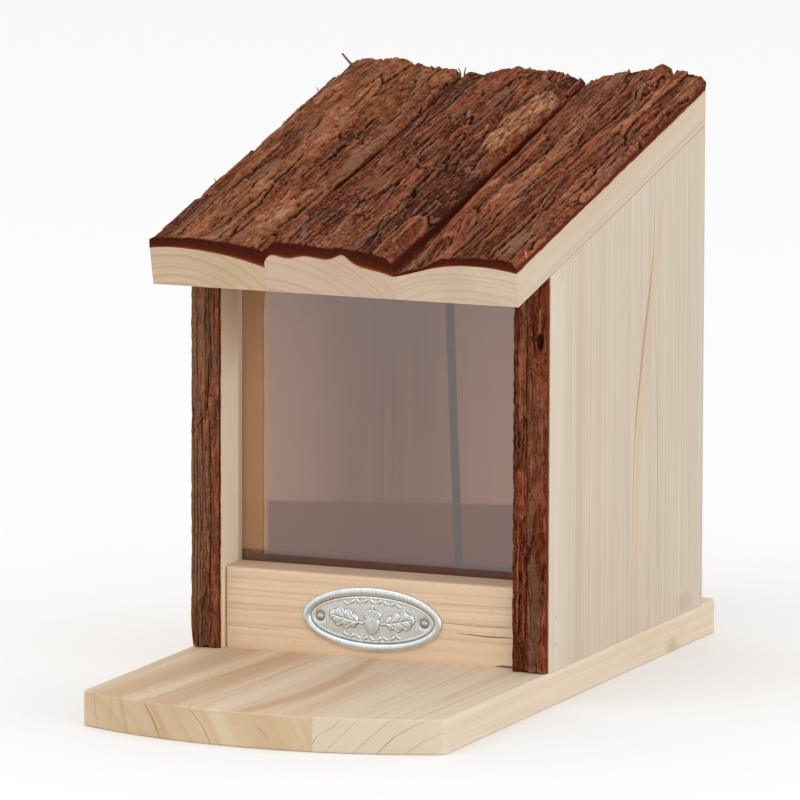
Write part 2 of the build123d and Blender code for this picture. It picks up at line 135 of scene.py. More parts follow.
def lattice(count_u, count_v, count_w):
    """Unit places and faces of the surface of a box, gridded on all six sides with shared edges."""
    quads = []

    def patch(size_a, size_b, place, flip):
        a, b = np.meshgrid(np.arange(size_a), np.arange(size_b), indexing="ij")
        corners = [place(a + da, b + db) for da, db in ((0, 0), (1, 0), (1, 1), (0, 1))]
        ids = [(i * (count_v + 1) + j) * (count_w + 1) + k for i, j, k in corners]
        quads.append(np.stack(ids[::-1] if flip else ids, -1).reshape(-1, 4))

    for end in (0, 1):
        patch(count_u, count_v, lambda a, b: (a, b, a * 0 + end * count_w), end == 0)
        patch(count_u, count_w, lambda a, b: (a, a * 0 + end * count_v, b), end == 1)
        patch(count_v, count_w, lambda a, b: (a * 0 + end * count_u, a, b), end == 0)
    quads = np.concatenate(quads)
    used, faces = np.unique(quads, return_inverse=True)
    w = used % (count_w + 1) / count_w
    v = used // (count_w + 1) % (count_v + 1) / count_v
    u = used // ((count_w + 1) * (count_v + 1)) / count_u
    return u, v, w, faces.reshape(-1, 4)


def dressed_lattice(counts, surface):
    """A lattice's places and faces, and the height and the values of a surface at each of its points."""
    grid_u, grid_v = np.meshgrid(*(np.linspace(0, 1, count + 1) for count in counts[:2]), indexing="ij")
    heights, values = surface(grid_u, grid_v)
    u, v, w, faces = lattice(*counts)
    at = (np.rint(u * counts[0]).astype(int), np.rint(v * counts[1]).astype(int))
    return u, v, w, faces, heights[at], {key: grid[at] for key, grid in values.items()}


def band_faces(rings, sides):
    """The faces between rings of points, each with so many sides."""
    faces = []
    for start in range(0, (rings - 1) * sides, sides):
        for side in range(sides):
            here = start + side
            after = start + (side + 1) % sides
            faces.append((here, after, after + sides, here + sides))
    return faces


def mesh_piece(name, points, faces, values=None):
    """A mesh object from arrays of points in metres and faces, with named values on its points."""
    mesh = bpy.data.meshes.new(name)
    mesh.from_pydata(points.tolist(), [], faces.tolist() if hasattr(faces, "tolist") else faces)
    for key, numbers in (values or {}).items():
        layer = mesh.attributes.new(key, "FLOAT", "POINT")
        layer.data.foreach_set("value", np.asarray(numbers, np.float32))
    mesh.validate()
    mesh.update()
    mesh.shade_smooth()
    piece = bpy.data.objects.new(name, mesh)
    bpy.context.scene.collection.objects.link(piece)
    return piece


# Materials

MARK_FADE = 2  # how far, in mm, a mark's ends fade on either side of its first and last place


def rgba(colour):
    """A node's colour, from screen values out of 255, from one level of grey or from four linear levels."""
    if isinstance(colour, (int, float)):
        return (colour, colour, colour, 1)
    if len(colour) == 4:
        return colour
    return tuple((share / 255) ** 2.2 for share in colour) + (1,)


class Signal:
    """A value that a material works out at each point. Sums are written as for numbers."""

    def __init__(self, paint, socket):
        self.paint = paint
        self.socket = socket

    def __add__(self, other):
        return self.paint.sum("ADD", self, other)

    def __sub__(self, other):
        return self.paint.sum("SUBTRACT", self, other)

    def __mul__(self, other):
        return self.paint.sum("MULTIPLY", self, other)

    def __truediv__(self, other):
        return self.paint.sum("DIVIDE", self, other)

    def __pow__(self, other):
        return self.paint.sum("POWER", self, other)

    def __abs__(self):
        return self.paint.sum("ABSOLUTE", self)

    def fit(self, low, high, new_low=0.0, new_high=1.0):
        """The value moved from one range to another, and held inside it."""
        ranges = {"From Min": low, "From Max": high, "To Min": new_low, "To Max": new_high}
        return self.paint.node("ShaderNodeMapRange", {"Value": self, **ranges})


class Paint:
    """Builds the nodes of one material, step by step."""

    def __init__(self, name, **settings):
        self.material = bpy.data.materials.new(name)
        self.material.use_nodes = True
        self.tree = self.material.node_tree
        self.shader = self.tree.nodes["Principled BSDF"]
        for socket, value in settings.items():
            self.shader.inputs[socket.replace("_", " ")].default_value = value

    def feed(self, socket, value):
        if isinstance(value, Signal):
            self.tree.links.new(value.socket, socket)
        else:
            socket.default_value = rgba(value) if socket.type == "RGBA" else value

    def make(self, kind, inputs, **settings):
        made = self.tree.nodes.new(kind)
        for key, value in settings.items():
            setattr(made, key, value)
        for socket, value in inputs.items():
            self.feed(made.inputs[socket], value)
        return made

    def node(self, kind, inputs, output=0, **settings):
        return Signal(self, self.make(kind, inputs, **settings).outputs[output])

    def sum(self, operation, *values, clamp=False):
        return self.node("ShaderNodeMath", dict(enumerate(values)), operation=operation, use_clamp=clamp)

    def split(self, vector):
        made = self.make("ShaderNodeSeparateXYZ", {0: vector})
        return [Signal(self, socket) for socket in made.outputs]

    def place(self):
        """The point's place in the frame, in millimetres."""
        here = self.node("ShaderNodeTexCoord", {}, "Object")
        return self.node("ShaderNodeVectorMath", {0: here, "Scale": 1 / MM}, operation="SCALE")

    def facing(self):
        """The way that the surface looks."""
        return self.node("ShaderNodeTexCoord", {}, "Normal")

    def value(self, name):
        """A number kept on the mesh's points."""
        return self.node("ShaderNodeAttribute", {}, "Fac", attribute_name=name)

    def stretch(self, vector, sizes, shift=(0, 0, 0)):
        """The vector divided by a size on each axis."""
        scale = tuple(1 / size for size in sizes)
        return self.node("ShaderNodeMapping", {"Vector": vector, "Scale": scale, "Location": shift})

    def noise(self, vector, sizes, detail=2.0, rough=0.5, shift=(0, 0, 0), warp=0.0):
        """Smooth noise of a size on each axis."""
        looks = {"Scale": 1.0, "Detail": detail, "Roughness": rough, "Distortion": warp}
        return self.node("ShaderNodeTexNoise", {"Vector": self.stretch(vector, sizes, shift), **looks})

    def each(self, value):
        """A random number from 0 to 1 for each whole number that the value passes."""
        return self.node("ShaderNodeTexWhiteNoise", {"W": self.sum("FLOOR", value)}, noise_dimensions="1D")

    def mix(self, share, first, second, blend="MIX"):
        # The colour inputs and the colour output of this node have no names of their own
        colours = {"Factor": share, 6: first, 7: second}
        return self.node("ShaderNodeMix", colours, 2, data_type="RGBA", blend_type=blend)

    def coats(self, colour, *coats):
        """The colour with coats over it. Each is how much it covers and its own colour."""
        for share, coat in coats:
            colour = self.mix(share, colour, coat)
        return colour

    def shaded(self, colour, shade):
        """The colour made lighter or darker by a factor."""
        level = self.node("ShaderNodeCombineColor", {0: shade, 1: shade, 2: shade})
        return self.mix(1.0, colour, level, "MULTIPLY")

    def ramp(self, value, stops):
        made = self.make("ShaderNodeValToRGB", {"Fac": value})
        elements = made.color_ramp.elements
        while len(elements) < len(stops):
            elements.new(0.5)
        for element, (where, colour) in zip(elements, stops):
            element.position = where
            element.color = rgba(colour)
        return Signal(self, made.outputs["Color"])

    def track(self, along, places, index):
        """One number of each place, read off between the places by how far along the point is."""
        low, high = places[0][0], places[-1][0]
        levels = [place[index] for place in places]
        least = min(levels)
        spread = max(max(levels) - least, 1e-6)
        stops = [((place[0] - low) / (high - low), (place[index] - least) / spread) for place in places]
        return self.ramp(along.fit(low, high), stops).fit(0, 1, least, least + spread)

    def streak(self, along, across, places):
        """1 on a thin mark and 0 beside it. Each place is how far along and across, and half the width."""
        share = abs(across - self.track(along, places, 1)) / self.track(along, places, 2)
        start, end = places[0][0], places[-1][0]
        on = along.fit(start - MARK_FADE, start + MARK_FADE) * along.fit(end + MARK_FADE, end - MARK_FADE)
        return share.fit(1.2, 0.4) * on

    def spot(self, here, middle, reach, wobble=0.5):
        """1 in the middle of an uneven spot and 0 outside it."""
        back = tuple(-place / size for place, size in zip(middle, reach))
        apart = self.stretch(here, reach, back)
        far = self.node("ShaderNodeVectorMath", {0: apart}, "Value", operation="LENGTH")
        return (far + self.noise(here, reach, 3.0).fit(0, 1, -wobble, wobble)).fit(1.15, 0.45)

    def finish(self, colour, relief=None, distance=0.0, strength=1.0):
        """Gives the shader its colour, and a relief of so many metres, and returns the material."""
        self.feed(self.shader.inputs["Base Color"], colour)
        if relief:
            bumps = {"Height": relief, "Distance": distance, "Strength": strength}
            self.feed(self.shader.inputs["Normal"], self.node("ShaderNodeBump", bumps))
        return self.material


def give(piece, material):
    piece.data.materials.clear()
    piece.data.materials.append(material)


RING_SHADES = [(0, 0.25), (0.1, 0), (0.5, 0.08), (0.84, 0.7), (0.95, 1)]  # across one growth ring
RING_WANDER = 3.0  # how far, in mm, the rings wander from true circles


def wood(name, grain, pith, pale, late, warm, ring=3.0, contrast=0.5, seed=0, tilt=0.0, ticks=0.0, end=None,
         end_late=None, end_contrast=0.75, streaky=0.5, marks=None, stains_and_painted_light=()):
    """Sawn softwood. The rings run round a pith line along the grain, whose place across it is in mm."""
    paint = Paint(name, Roughness=0.62, Specular_IOR_Level=0.3)
    flat = paint.place()
    here = flat
    grain_index = "XYZ".index(grain)
    axis = [float(index == grain_index) for index in range(3)]
    if tilt:
        here = paint.node("ShaderNodeMapping", {"Vector": here, "Rotation": (-tilt, 0, 0)})
        axis = (0, math.cos(tilt), math.sin(tilt))
    parts = paint.split(here)
    parts.append(parts.pop(grain_index))
    turned = paint.node("ShaderNodeCombineXYZ", dict(enumerate(parts)))
    shift = (seed * 3.1, seed * 5.7, seed * 1.3)

    def grained(sizes, detail, rough=0.5):
        return paint.noise(turned, sizes, detail, rough, shift)

    radius = paint.sum("SQRT", (parts[0] - pith[0]) ** 2 + (parts[1] - pith[1]) ** 2)
    radius = radius + grained((45, 45, 190), 3.0).fit(0, 1, -RING_WANDER, RING_WANDER)
    pace = paint.node("ShaderNodeTexNoise", {"W": radius / (ring * 4), "Scale": 1.0}, noise_dimensions="1D")
    turns = (radius + pace.fit(0, 1, 0, ring * 3.4)) / ring
    # Some rings are darker than others
    line = paint.ramp(paint.sum("FRACT", turns), RING_SHADES) * paint.each(turns).fit(0, 1, 0.35, 1)
    fibre = grained((0.5, 0.5, 28), 4.0, 0.62)
    streak = grained((3.2, 3.2, 260), 4.0, 0.62)
    cloud = grained((26, 26, 80), 2.0)
    thin = paint.noise(turned, (1.1, 1.1, 200), 3.0, 0.6, (9 + seed, 4, 2))
    colour = paint.coats(
        pale, (streak.fit(0.42, 0.72), warm), (cloud.fit(0.35, 0.8, 0, 0.55), warm),
        (line * contrast, late), (thin.fit(0.58, 0.72, 0, streaky), late),
    )
    relief = fibre * 0.7 + line * 0.4
    if ticks:
        saw_mark = grained((5, 5, 0.8), 3.0, 0.6).fit(0.56, 0.72)
        colour = paint.mix(saw_mark * ticks, colour, late)
        relief = relief - saw_mark * 0.5
    if end:
        end_late = end_late or late
        ways = {0: paint.facing(), 1: axis}
        along = paint.node("ShaderNodeVectorMath", ways, "Value", operation="DOT_PRODUCT")
        pores = grained((0.9, 0.9, 9), 4.0, 0.7)
        cut_colour = paint.coats(
            end, (line * end_contrast, end_late), (pores.fit(0.5, 0.75, 0, 0.35), end_late),
            (cloud.fit(0.4, 0.75, 0, 0.4), end_late),
        )
        colour = paint.mix(abs(along).fit(0.7, 0.85), colour, cut_colour)
    colour = paint.shaded(colour, fibre.fit(0.25, 0.75, 0.93, 1.05))
    spread = paint.split(flat)
    facing = paint.split(paint.facing())
    for (along_axis, across_axis), rows in (marks or {}).items():
        # A mark lies only on the faces that look along the third axis
        looks = abs(facing[3 - along_axis - across_axis])
        for places, mark_tone, strength in rows:
            mark = paint.streak(spread[along_axis], spread[across_axis], places)
            colour = paint.mix(mark * looks.fit(0.5, 0.7, 0, strength), colour, mark_tone)
    # Stains and spots of painted light and shade
    for middle, reach, spot_tone, strength in stains_and_painted_light:
        colour = paint.mix(paint.spot(flat, middle, reach) * strength, colour, spot_tone)
    return paint.finish(colour, relief, 0.12 * MM, 0.55)


# Shades of the bark from deep in it to its worn skin, in the tan and the red kind
SHADE_STOPS = (0.05, 0.32, 0.55, 0.75, 1)
TAN_BARK = ((72, 33, 17), (113, 63, 35), (142, 84, 51), (164, 105, 70), (194, 138, 100))
RED_BARK = ((66, 25, 13), (104, 47, 27), (133, 64, 40), (155, 86, 58), (185, 122, 92))
# Shades of a saw cut through the bark, from the pale inner bark up to its skin
SAWN_BARK = [
    (0, (182, 104, 50)), (0.07, (150, 74, 34)), (0.16, (86, 36, 20)), (0.5, (66, 27, 16)),
    (0.88, (54, 22, 13)), (1, (88, 42, 26)),
]


def bark_material(name):
    """Red-brown flaky bark, with painted shade in its cracks and painted highlights. The mesh keeps how
    much painted shade its cracks get and how much painted highlight its ridges get, and its tone, redness,
    weathering, bare patches and cuts.
    """
    paint = Paint(name, Roughness=0.88, Specular_IOR_Level=0.1)
    here = paint.place()
    crust = paint.noise(here, (0.8, 1.9, 1.9), 6.0, 0.72)
    blotch = paint.noise(here, (2.6, 7, 7), 4.0, 0.65)
    layer = paint.noise(here, (2.3, 8, 8), 5.0, 0.6, (3, 3, 3), 0.3) * 8
    scale = paint.sum("FRACT", layer)
    fibre = paint.noise(here, (1.0, 8, 8), 5.0, 0.72, (9, 9, 9))
    fleck = paint.noise(here, (0.6, 1.3, 1.3), 3.0, 0.7, (5, 5, 5)).fit(0.6, 0.7)
    tint = paint.value("shade") + crust.fit(0.25, 0.75, -0.2, 0.2)
    tint = tint + paint.each(layer).fit(0, 1, -0.15, 0.15) + blotch.fit(0.3, 0.7, -0.14, 0.14)
    tan, red = (paint.ramp(tint, list(zip(SHADE_STOPS, shades))) for shades in (TAN_BARK, RED_BARK))
    # Light specks of dust, and the painted highlight on raised points
    light = paint.sum("ADD", fleck * 0.24, paint.value("worn") * 0.4, clamp=True)
    # Small scales: each gets a painted highlight along one edge and a painted shadow beyond it
    rough = paint.value("calm").fit(0, 1, 1, 0.25)
    scale_highlight = scale.fit(0.7, 0.92) * blotch.fit(0.42, 0.6)
    line = scale.fit(0.12, 0.03) * blotch.fit(0.6, 0.42) * rough
    # Painted shade in the low pits of the crust
    pit_shade = crust.fit(0.4, 0.3) * rough
    # Painted shade in the cracks and beside the scales
    painted_shade = paint.sum("MAXIMUM", paint.value("crack") * 0.97, line * 0.8)
    sawn = paint.ramp(paint.value("level"), SAWN_BARK)
    colour = paint.coats(
        tan,
        (paint.value("redness"), red),
        (paint.value("weathered"), paint.mix(crust.fit(0.3, 0.7), (98, 66, 49), (164, 122, 96))),
        (paint.value("bare") * fibre.fit(0.45, 0.58, 0, 0.95), (204, 150, 108)),
        (light, (194, 131, 96)),
        (scale_highlight * 0.36, (196, 136, 104)),
        (paint.sum("MAXIMUM", painted_shade, pit_shade * 0.7), (40, 16, 9)),
        (paint.value("cut"), paint.mix(crust.fit(0.35, 0.8, 0, 0.45), sawn, (114, 50, 29))),
    )
    return paint.finish(colour, crust + scale * 0.3, 0.9 * MM, 0.9)


def zinc(name, colour, roughness, brushed):
    """Zinc-coated steel with faint crystal patches and a brushed grain."""
    paint = Paint(name, Metallic=1.0)
    here = paint.place()
    crystals = {"Vector": paint.stretch(here, (2.6, 2.6, 2.6)), "Scale": 1.0}
    spangle = paint.node("ShaderNodeTexVoronoi", crystals, "Color")
    brush = paint.noise(here, (0.12, 0.5, 3.5), 3.0, 0.6)
    wear = paint.noise(here, (5, 5, 5), 4.0, 0.6)
    shade = spangle.fit(0, 1, 0.9, 1.06) + brush.fit(0, 1, -brushed, brushed)
    toned = paint.mix(wear.fit(0.55, 0.8, 0, 0.3), paint.shaded(colour, shade), (150, 138, 124))
    uneven = brush.fit(0.2, 0.8, roughness - 0.08, roughness + 0.1)
    paint.feed(paint.shader.inputs["Roughness"], uneven)
    return paint.finish(toned, brush, 0.03 * MM, 0.4)


def emblem_material(name):
    """Bright zinc, brushed upright, darker brown in the hollows, with a painted highlight on raised edges.
    """
    paint = Paint(name, Metallic=1.0, Roughness=0.34)
    here = paint.place()
    brush = paint.noise(here, (0.45, 1, 9), 4.0, 0.66)
    wear = paint.noise(here, (3, 3, 3), 4.0, 0.65)
    hollow = paint.value("hollow")
    colour = paint.coats(
        (194, 204, 208),
        (brush.fit(0.3, 0.7), (243, 250, 254)),
        (wear.fit(0.5, 0.75, 0, 0.35), (190, 192, 190)),
        # Darker brown in the hollows
        (hollow.fit(0.05, 0.22, 0, 0.85), (104, 98, 90)),
        # Raised edges near white, a painted highlight
        (hollow.fit(-0.03, -0.2, 0, 0.7), (250, 250, 250)),
    )
    return paint.finish(colour, brush, 0.06 * MM, 0.5)


# The pane's browns in linear light: its middle and its haze, then painted reflections: lighter sides and
# top, the lit side wall in its left rim, darker below the line where the table's edge is mirrored, darker
# at its foot where the front board's ledge is mirrored, and a bluish streak, whose colour its scuffs share
SMOKE = (0.155, 0.062, 0.038, 1)
SMOKE_PALE = (0.205, 0.095, 0.061, 1)
SMOKE_EDGE_REFLECTION = (0.36, 0.19, 0.122, 1)
SMOKE_RIM_REFLECTION = (0.46, 0.23, 0.1, 1)
SMOKE_LOW_REFLECTION = (0.125, 0.024, 0.004, 1)
SMOKE_FOOT_REFLECTION = (0.07, 0.006, 0.001, 1)
SMOKE_BLUE_REFLECTION_AND_SCUFF = (0.055, 0.03, 0.03, 1)
# Heights and places on the pane, in mm in the frame
PANE_REFLECTION_LINE = BASE_TOP / MM + 64.5
PANE_REFLECTION_LINE_TILT = 0.053
PANE_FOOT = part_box("front_board")[1].z / MM
PANE_FOOT_REFLECTION_BAND = 5
PANE_RIM_REFLECTION = -56
PANE_SIDE_REFLECTION = (18, 56)
PANE_TOP_REFLECTION = (150, 205)
PANE_REFLECTED_STREAK = [(44, 33.8, 2.1), (51, 33.3, 2.1), (110, 30.8, 2.1), (168, 28.5, 2.2), (200, 28, 2.3)]
PANE_SCUFFS = ((4.9, -10.7, 101.7), (10, -10.7, 101.6), (32.3, -10.7, 84.9), (18.9, -10.7, 80.6))
SCUFF_REACH = (1.3, 4, 0.8)


def pane_material(name):
    """A smoky brown sheet that mirrors some of the light and lets a little through, with reflections
    painted into its colour.
    """
    paint = Paint(name, Metallic=0.0, Roughness=0.05, IOR=2.16, Alpha=0.82)
    here = paint.place()
    across, _, up = paint.split(here)
    haze = paint.noise(here, (22, 22, 90), 2.0)
    lines = paint.noise(here, (2.2, 2.2, 120), 3.0)
    rise = up - across * PANE_REFLECTION_LINE_TILT
    foot = PANE_FOOT + PANE_FOOT_REFLECTION_BAND
    coats = [
        (haze.fit(0.3, 0.7), SMOKE_PALE),
        (lines.fit(0.42, 0.6, 0, 0.8), SMOKE_PALE),
        # Painted reflections: lighter towards the sides and the top
        (abs(across).fit(*PANE_SIDE_REFLECTION), SMOKE_EDGE_REFLECTION),
        (up.fit(*PANE_TOP_REFLECTION, 0, 0.35), SMOKE_EDGE_REFLECTION),
        # Painted reflection: darker below the line where the table's edge is mirrored
        (rise.fit(PANE_REFLECTION_LINE + 0.5, PANE_REFLECTION_LINE - 0.5) * 0.75, SMOKE_LOW_REFLECTION),
        # Painted reflection of the lit side wall in the left rim
        (across.fit(PANE_RIM_REFLECTION + 1, PANE_RIM_REFLECTION - 1, 0, 0.9), SMOKE_RIM_REFLECTION),
        # Painted reflection: darker at the foot, where the front board's ledge is mirrored
        (up.fit(foot + 0.5, foot - 0.5, 0, 0.8), SMOKE_FOOT_REFLECTION),
        # Painted reflection: a bluish streak
        (paint.streak(up, across, PANE_REFLECTED_STREAK).fit(0.2, 0.5) * 0.92, SMOKE_BLUE_REFLECTION_AND_SCUFF),
    ]
    # Scuffs, in the streak's bluish colour
    coats += [(paint.spot(here, middle, SCUFF_REACH, 0.9) * 0.6, SMOKE_BLUE_REFLECTION_AND_SCUFF) for middle in PANE_SCUFFS]
    return paint.finish(paint.coats(SMOKE, *coats))


# Bark. Places on it are across and along a sheet, in mm

BARK = bark_material("bark_flaky")
BARK_SLACK = 0.06  # how far the roof bark's underside sinks into the board below
SLAB_GRID = (140, 300, 8)
STRIP_GRID = (64, 340, 8)
SHEET_COUNT = 30  # loose torn sheets on each plank's bark
CALM_REACH = 6  # how far from the front cut the roof bark's relief is calmer
THINNEST = 0.7  # the roof bark's least thickness
PLANK_COLUMNS = 60  # places across a plank where its rounded top is measured
SIDE_SLACK = 0.02  # how far, at least, the bark stays inside its own box

# Bark on the roof planks. Across is measured from the feeder's middle and along from the front cut.
# plates: about how wide and how long the bark's plates are
# places and tops: how far across its heights are given, and these heights above the roof's underside at the
# front cut, at the middle station and at the rear
# fissures: where each starts and ends, and half its width
# patches: how strong each is, its middle and how far it reaches each way
MIDDLE_STATION = 0.28  # of the way from the front cut to the rear
SLABS = {
    "left": dict(
        seed=11, plates=(11, 70), redness=0.2, lightness=-0.04,
        places=(-85.4, -82.2, -76.4, -66.6, -56.9, -49.9, -41.1, -34.4, -32.3),
        tops=(
            (20.4, 21.9, 22.5, 22.5, 22.1, 21.5, 20.4, 19.0, 18.4),
            (20.1, 21.4, 22.0, 22.3, 21.9, 20.8, 19.8, 18.2, 17.2),
            (19.1, 19.9, 21.0, 22.0, 21.4, 19.5, 18.6, 17.6, 15.5),
        ),
        fissures=[
            (-60, 2, -57, 62, 1.1), (-57, 70, -58, 104, 1.2), (-73, 52, -72, 90, 1.1),
            (-47.5, 92, -47, 160, 1.5), (-37, 15, -36, 72, 1.0), (-30.8, 0, -31.3, 75, 1.0),
            (-76.5, 104, -77, 136, 0.8), (-31, 155, -32, 180, 0.8), (-41, 150, -40, 170, 0.8),
            (-66, 128, -67, 150, 0.6), (-52, 6, -50, 34, 0.5),
        ],
        patches={
            "weathered": [(0.75, -36.5, 122, 3.2, 30), (0.5, -66, 78, 4, 18), (0.4, -55, 14, 3, 14)],
            "shade": [(0.3, -31, 172, 2.2, 9), (0.15, -46, 40, 7, 26), (0.05, -58, 180, 30, 45)],
            "redness": [(0.4, -62, 152, 5, 18)],
        },
    ),
    "middle": dict(
        seed=47, plates=(9, 48), redness=0.7, lightness=-0.2,
        places=(-32.3, -27.8, -23.4, -14.6, -3.7, 1.2, 9.0, 16.0, 23.8, 26.3),
        tops=(
            (17.8, 23.2, 23.0, 23.0, 21.9, 21.9, 21.6, 20.9, 18.5, 16.4),
            (16.8, 20.8, 21.6, 22.1, 21.7, 21.8, 21.5, 20.6, 17.8, 16.0),
            (14.0, 15.0, 16.6, 19.2, 20.5, 20.9, 20.8, 20.2, 16.9, 15.8),
        ),
        fissures=[
            (10, 46, 3, 142, 1.5), (-7, 178, -2, 212, 1.2), (-15, 84, -12, 150, 1.2),
            (-10, 42, -11, 70, 0.8), (12, 8, 9, 40, 0.7), (-18, 90, -17, 128, 0.7), (1, 146, 3, 200, 0.7),
            (-24, 150, -22, 214, 0.9),
        ],
        patches={
            "weathered": [
                (0.8, -7, 45, 3, 9), (0.6, -5, 20, 2.5, 14), (0.55, 0, 190, 2.4, 18),
                (0.9, 19, 104, 1.6, 2.6),
            ],
            "bare": [(1.0, 17, 139, 4.5, 13), (1.0, 20, 187, 5.5, 13), (0.75, 18.5, 163, 6, 22)],
            "shade": [(-0.3, 25, 98, 5, 7), (-0.1, 16, 70, 12, 60), (-0.3, -18, 36, 6, 7)],
            "redness": [(0.3, -22, 60, 8, 40)],
        },
    ),
    "right": dict(
        seed=83, plates=(7.5, 75), redness=0.62, lightness=-0.01,
        places=(26.3, 31.5, 38.1, 42.0, 46.0, 49.0, 59.7, 68.4, 77.0, 80.5, 83.0),
        tops=(
            (10.6, 12.9, 14.6, 15.8, 18.5, 20.2, 21.3, 21.4, 21.1, 20.3, 17.2),
            (11.5, 16.5, 19.0, 19.6, 20.2, 20.6, 21.4, 21.5, 21.2, 20.3, 17.6),
            (16.0, 18.4, 20.3, 21.2, 21.8, 22.2, 23.5, 23.2, 22.5, 21.5, 19.0),
        ),
        fissures=[
            (52, 4, 53.5, 64, 1.2), (54.5, 70, 57, 128, 1.0), (58, 126, 63, 192, 1.2),
            (69.5, 4, 70.5, 76, 1.1), (41, 98, 47.5, 158, 1.4), (49, 162, 51.5, 204, 1.1),
            (76, 56, 77, 132, 0.9), (66, 150, 67, 214, 0.7), (33, 98, 34, 150, 0.9),
            (36, 150, 37, 205, 0.7), (46, 20, 48, 60, 0.6),
        ],
        patches={
            "weathered": [(0.6, 43, 212, 2.6, 10), (0.5, 75, 20, 3, 15), (0.5, 32, 10, 4, 14)],
            "shade": [(0.14, 44, 52, 5, 32), (0.1, 47, 130, 6, 60), (0.08, 58, 185, 30, 45)],
            "redness": [(0.4, 63, 58, 5, 17)],
        },
    ),
}
# On the right plank: slivers that lie askew beside the front of the seam, and a loose flake at the rear,
# with a gap beside it
ASKEW_OVAL = (44, 52, 7, 36)
ASKEW_PIVOT = 50
ASKEW_TURN = 0.22
FLAKE_MIDDLE = 62.6
FLAKE_HALF = 4.6
FLAKE_LENGTH = 34
FLAKE_CROWN = 25.3
FLAKE_GAP = 0.8
FLAKE_GAP_DEPTH = 2.6

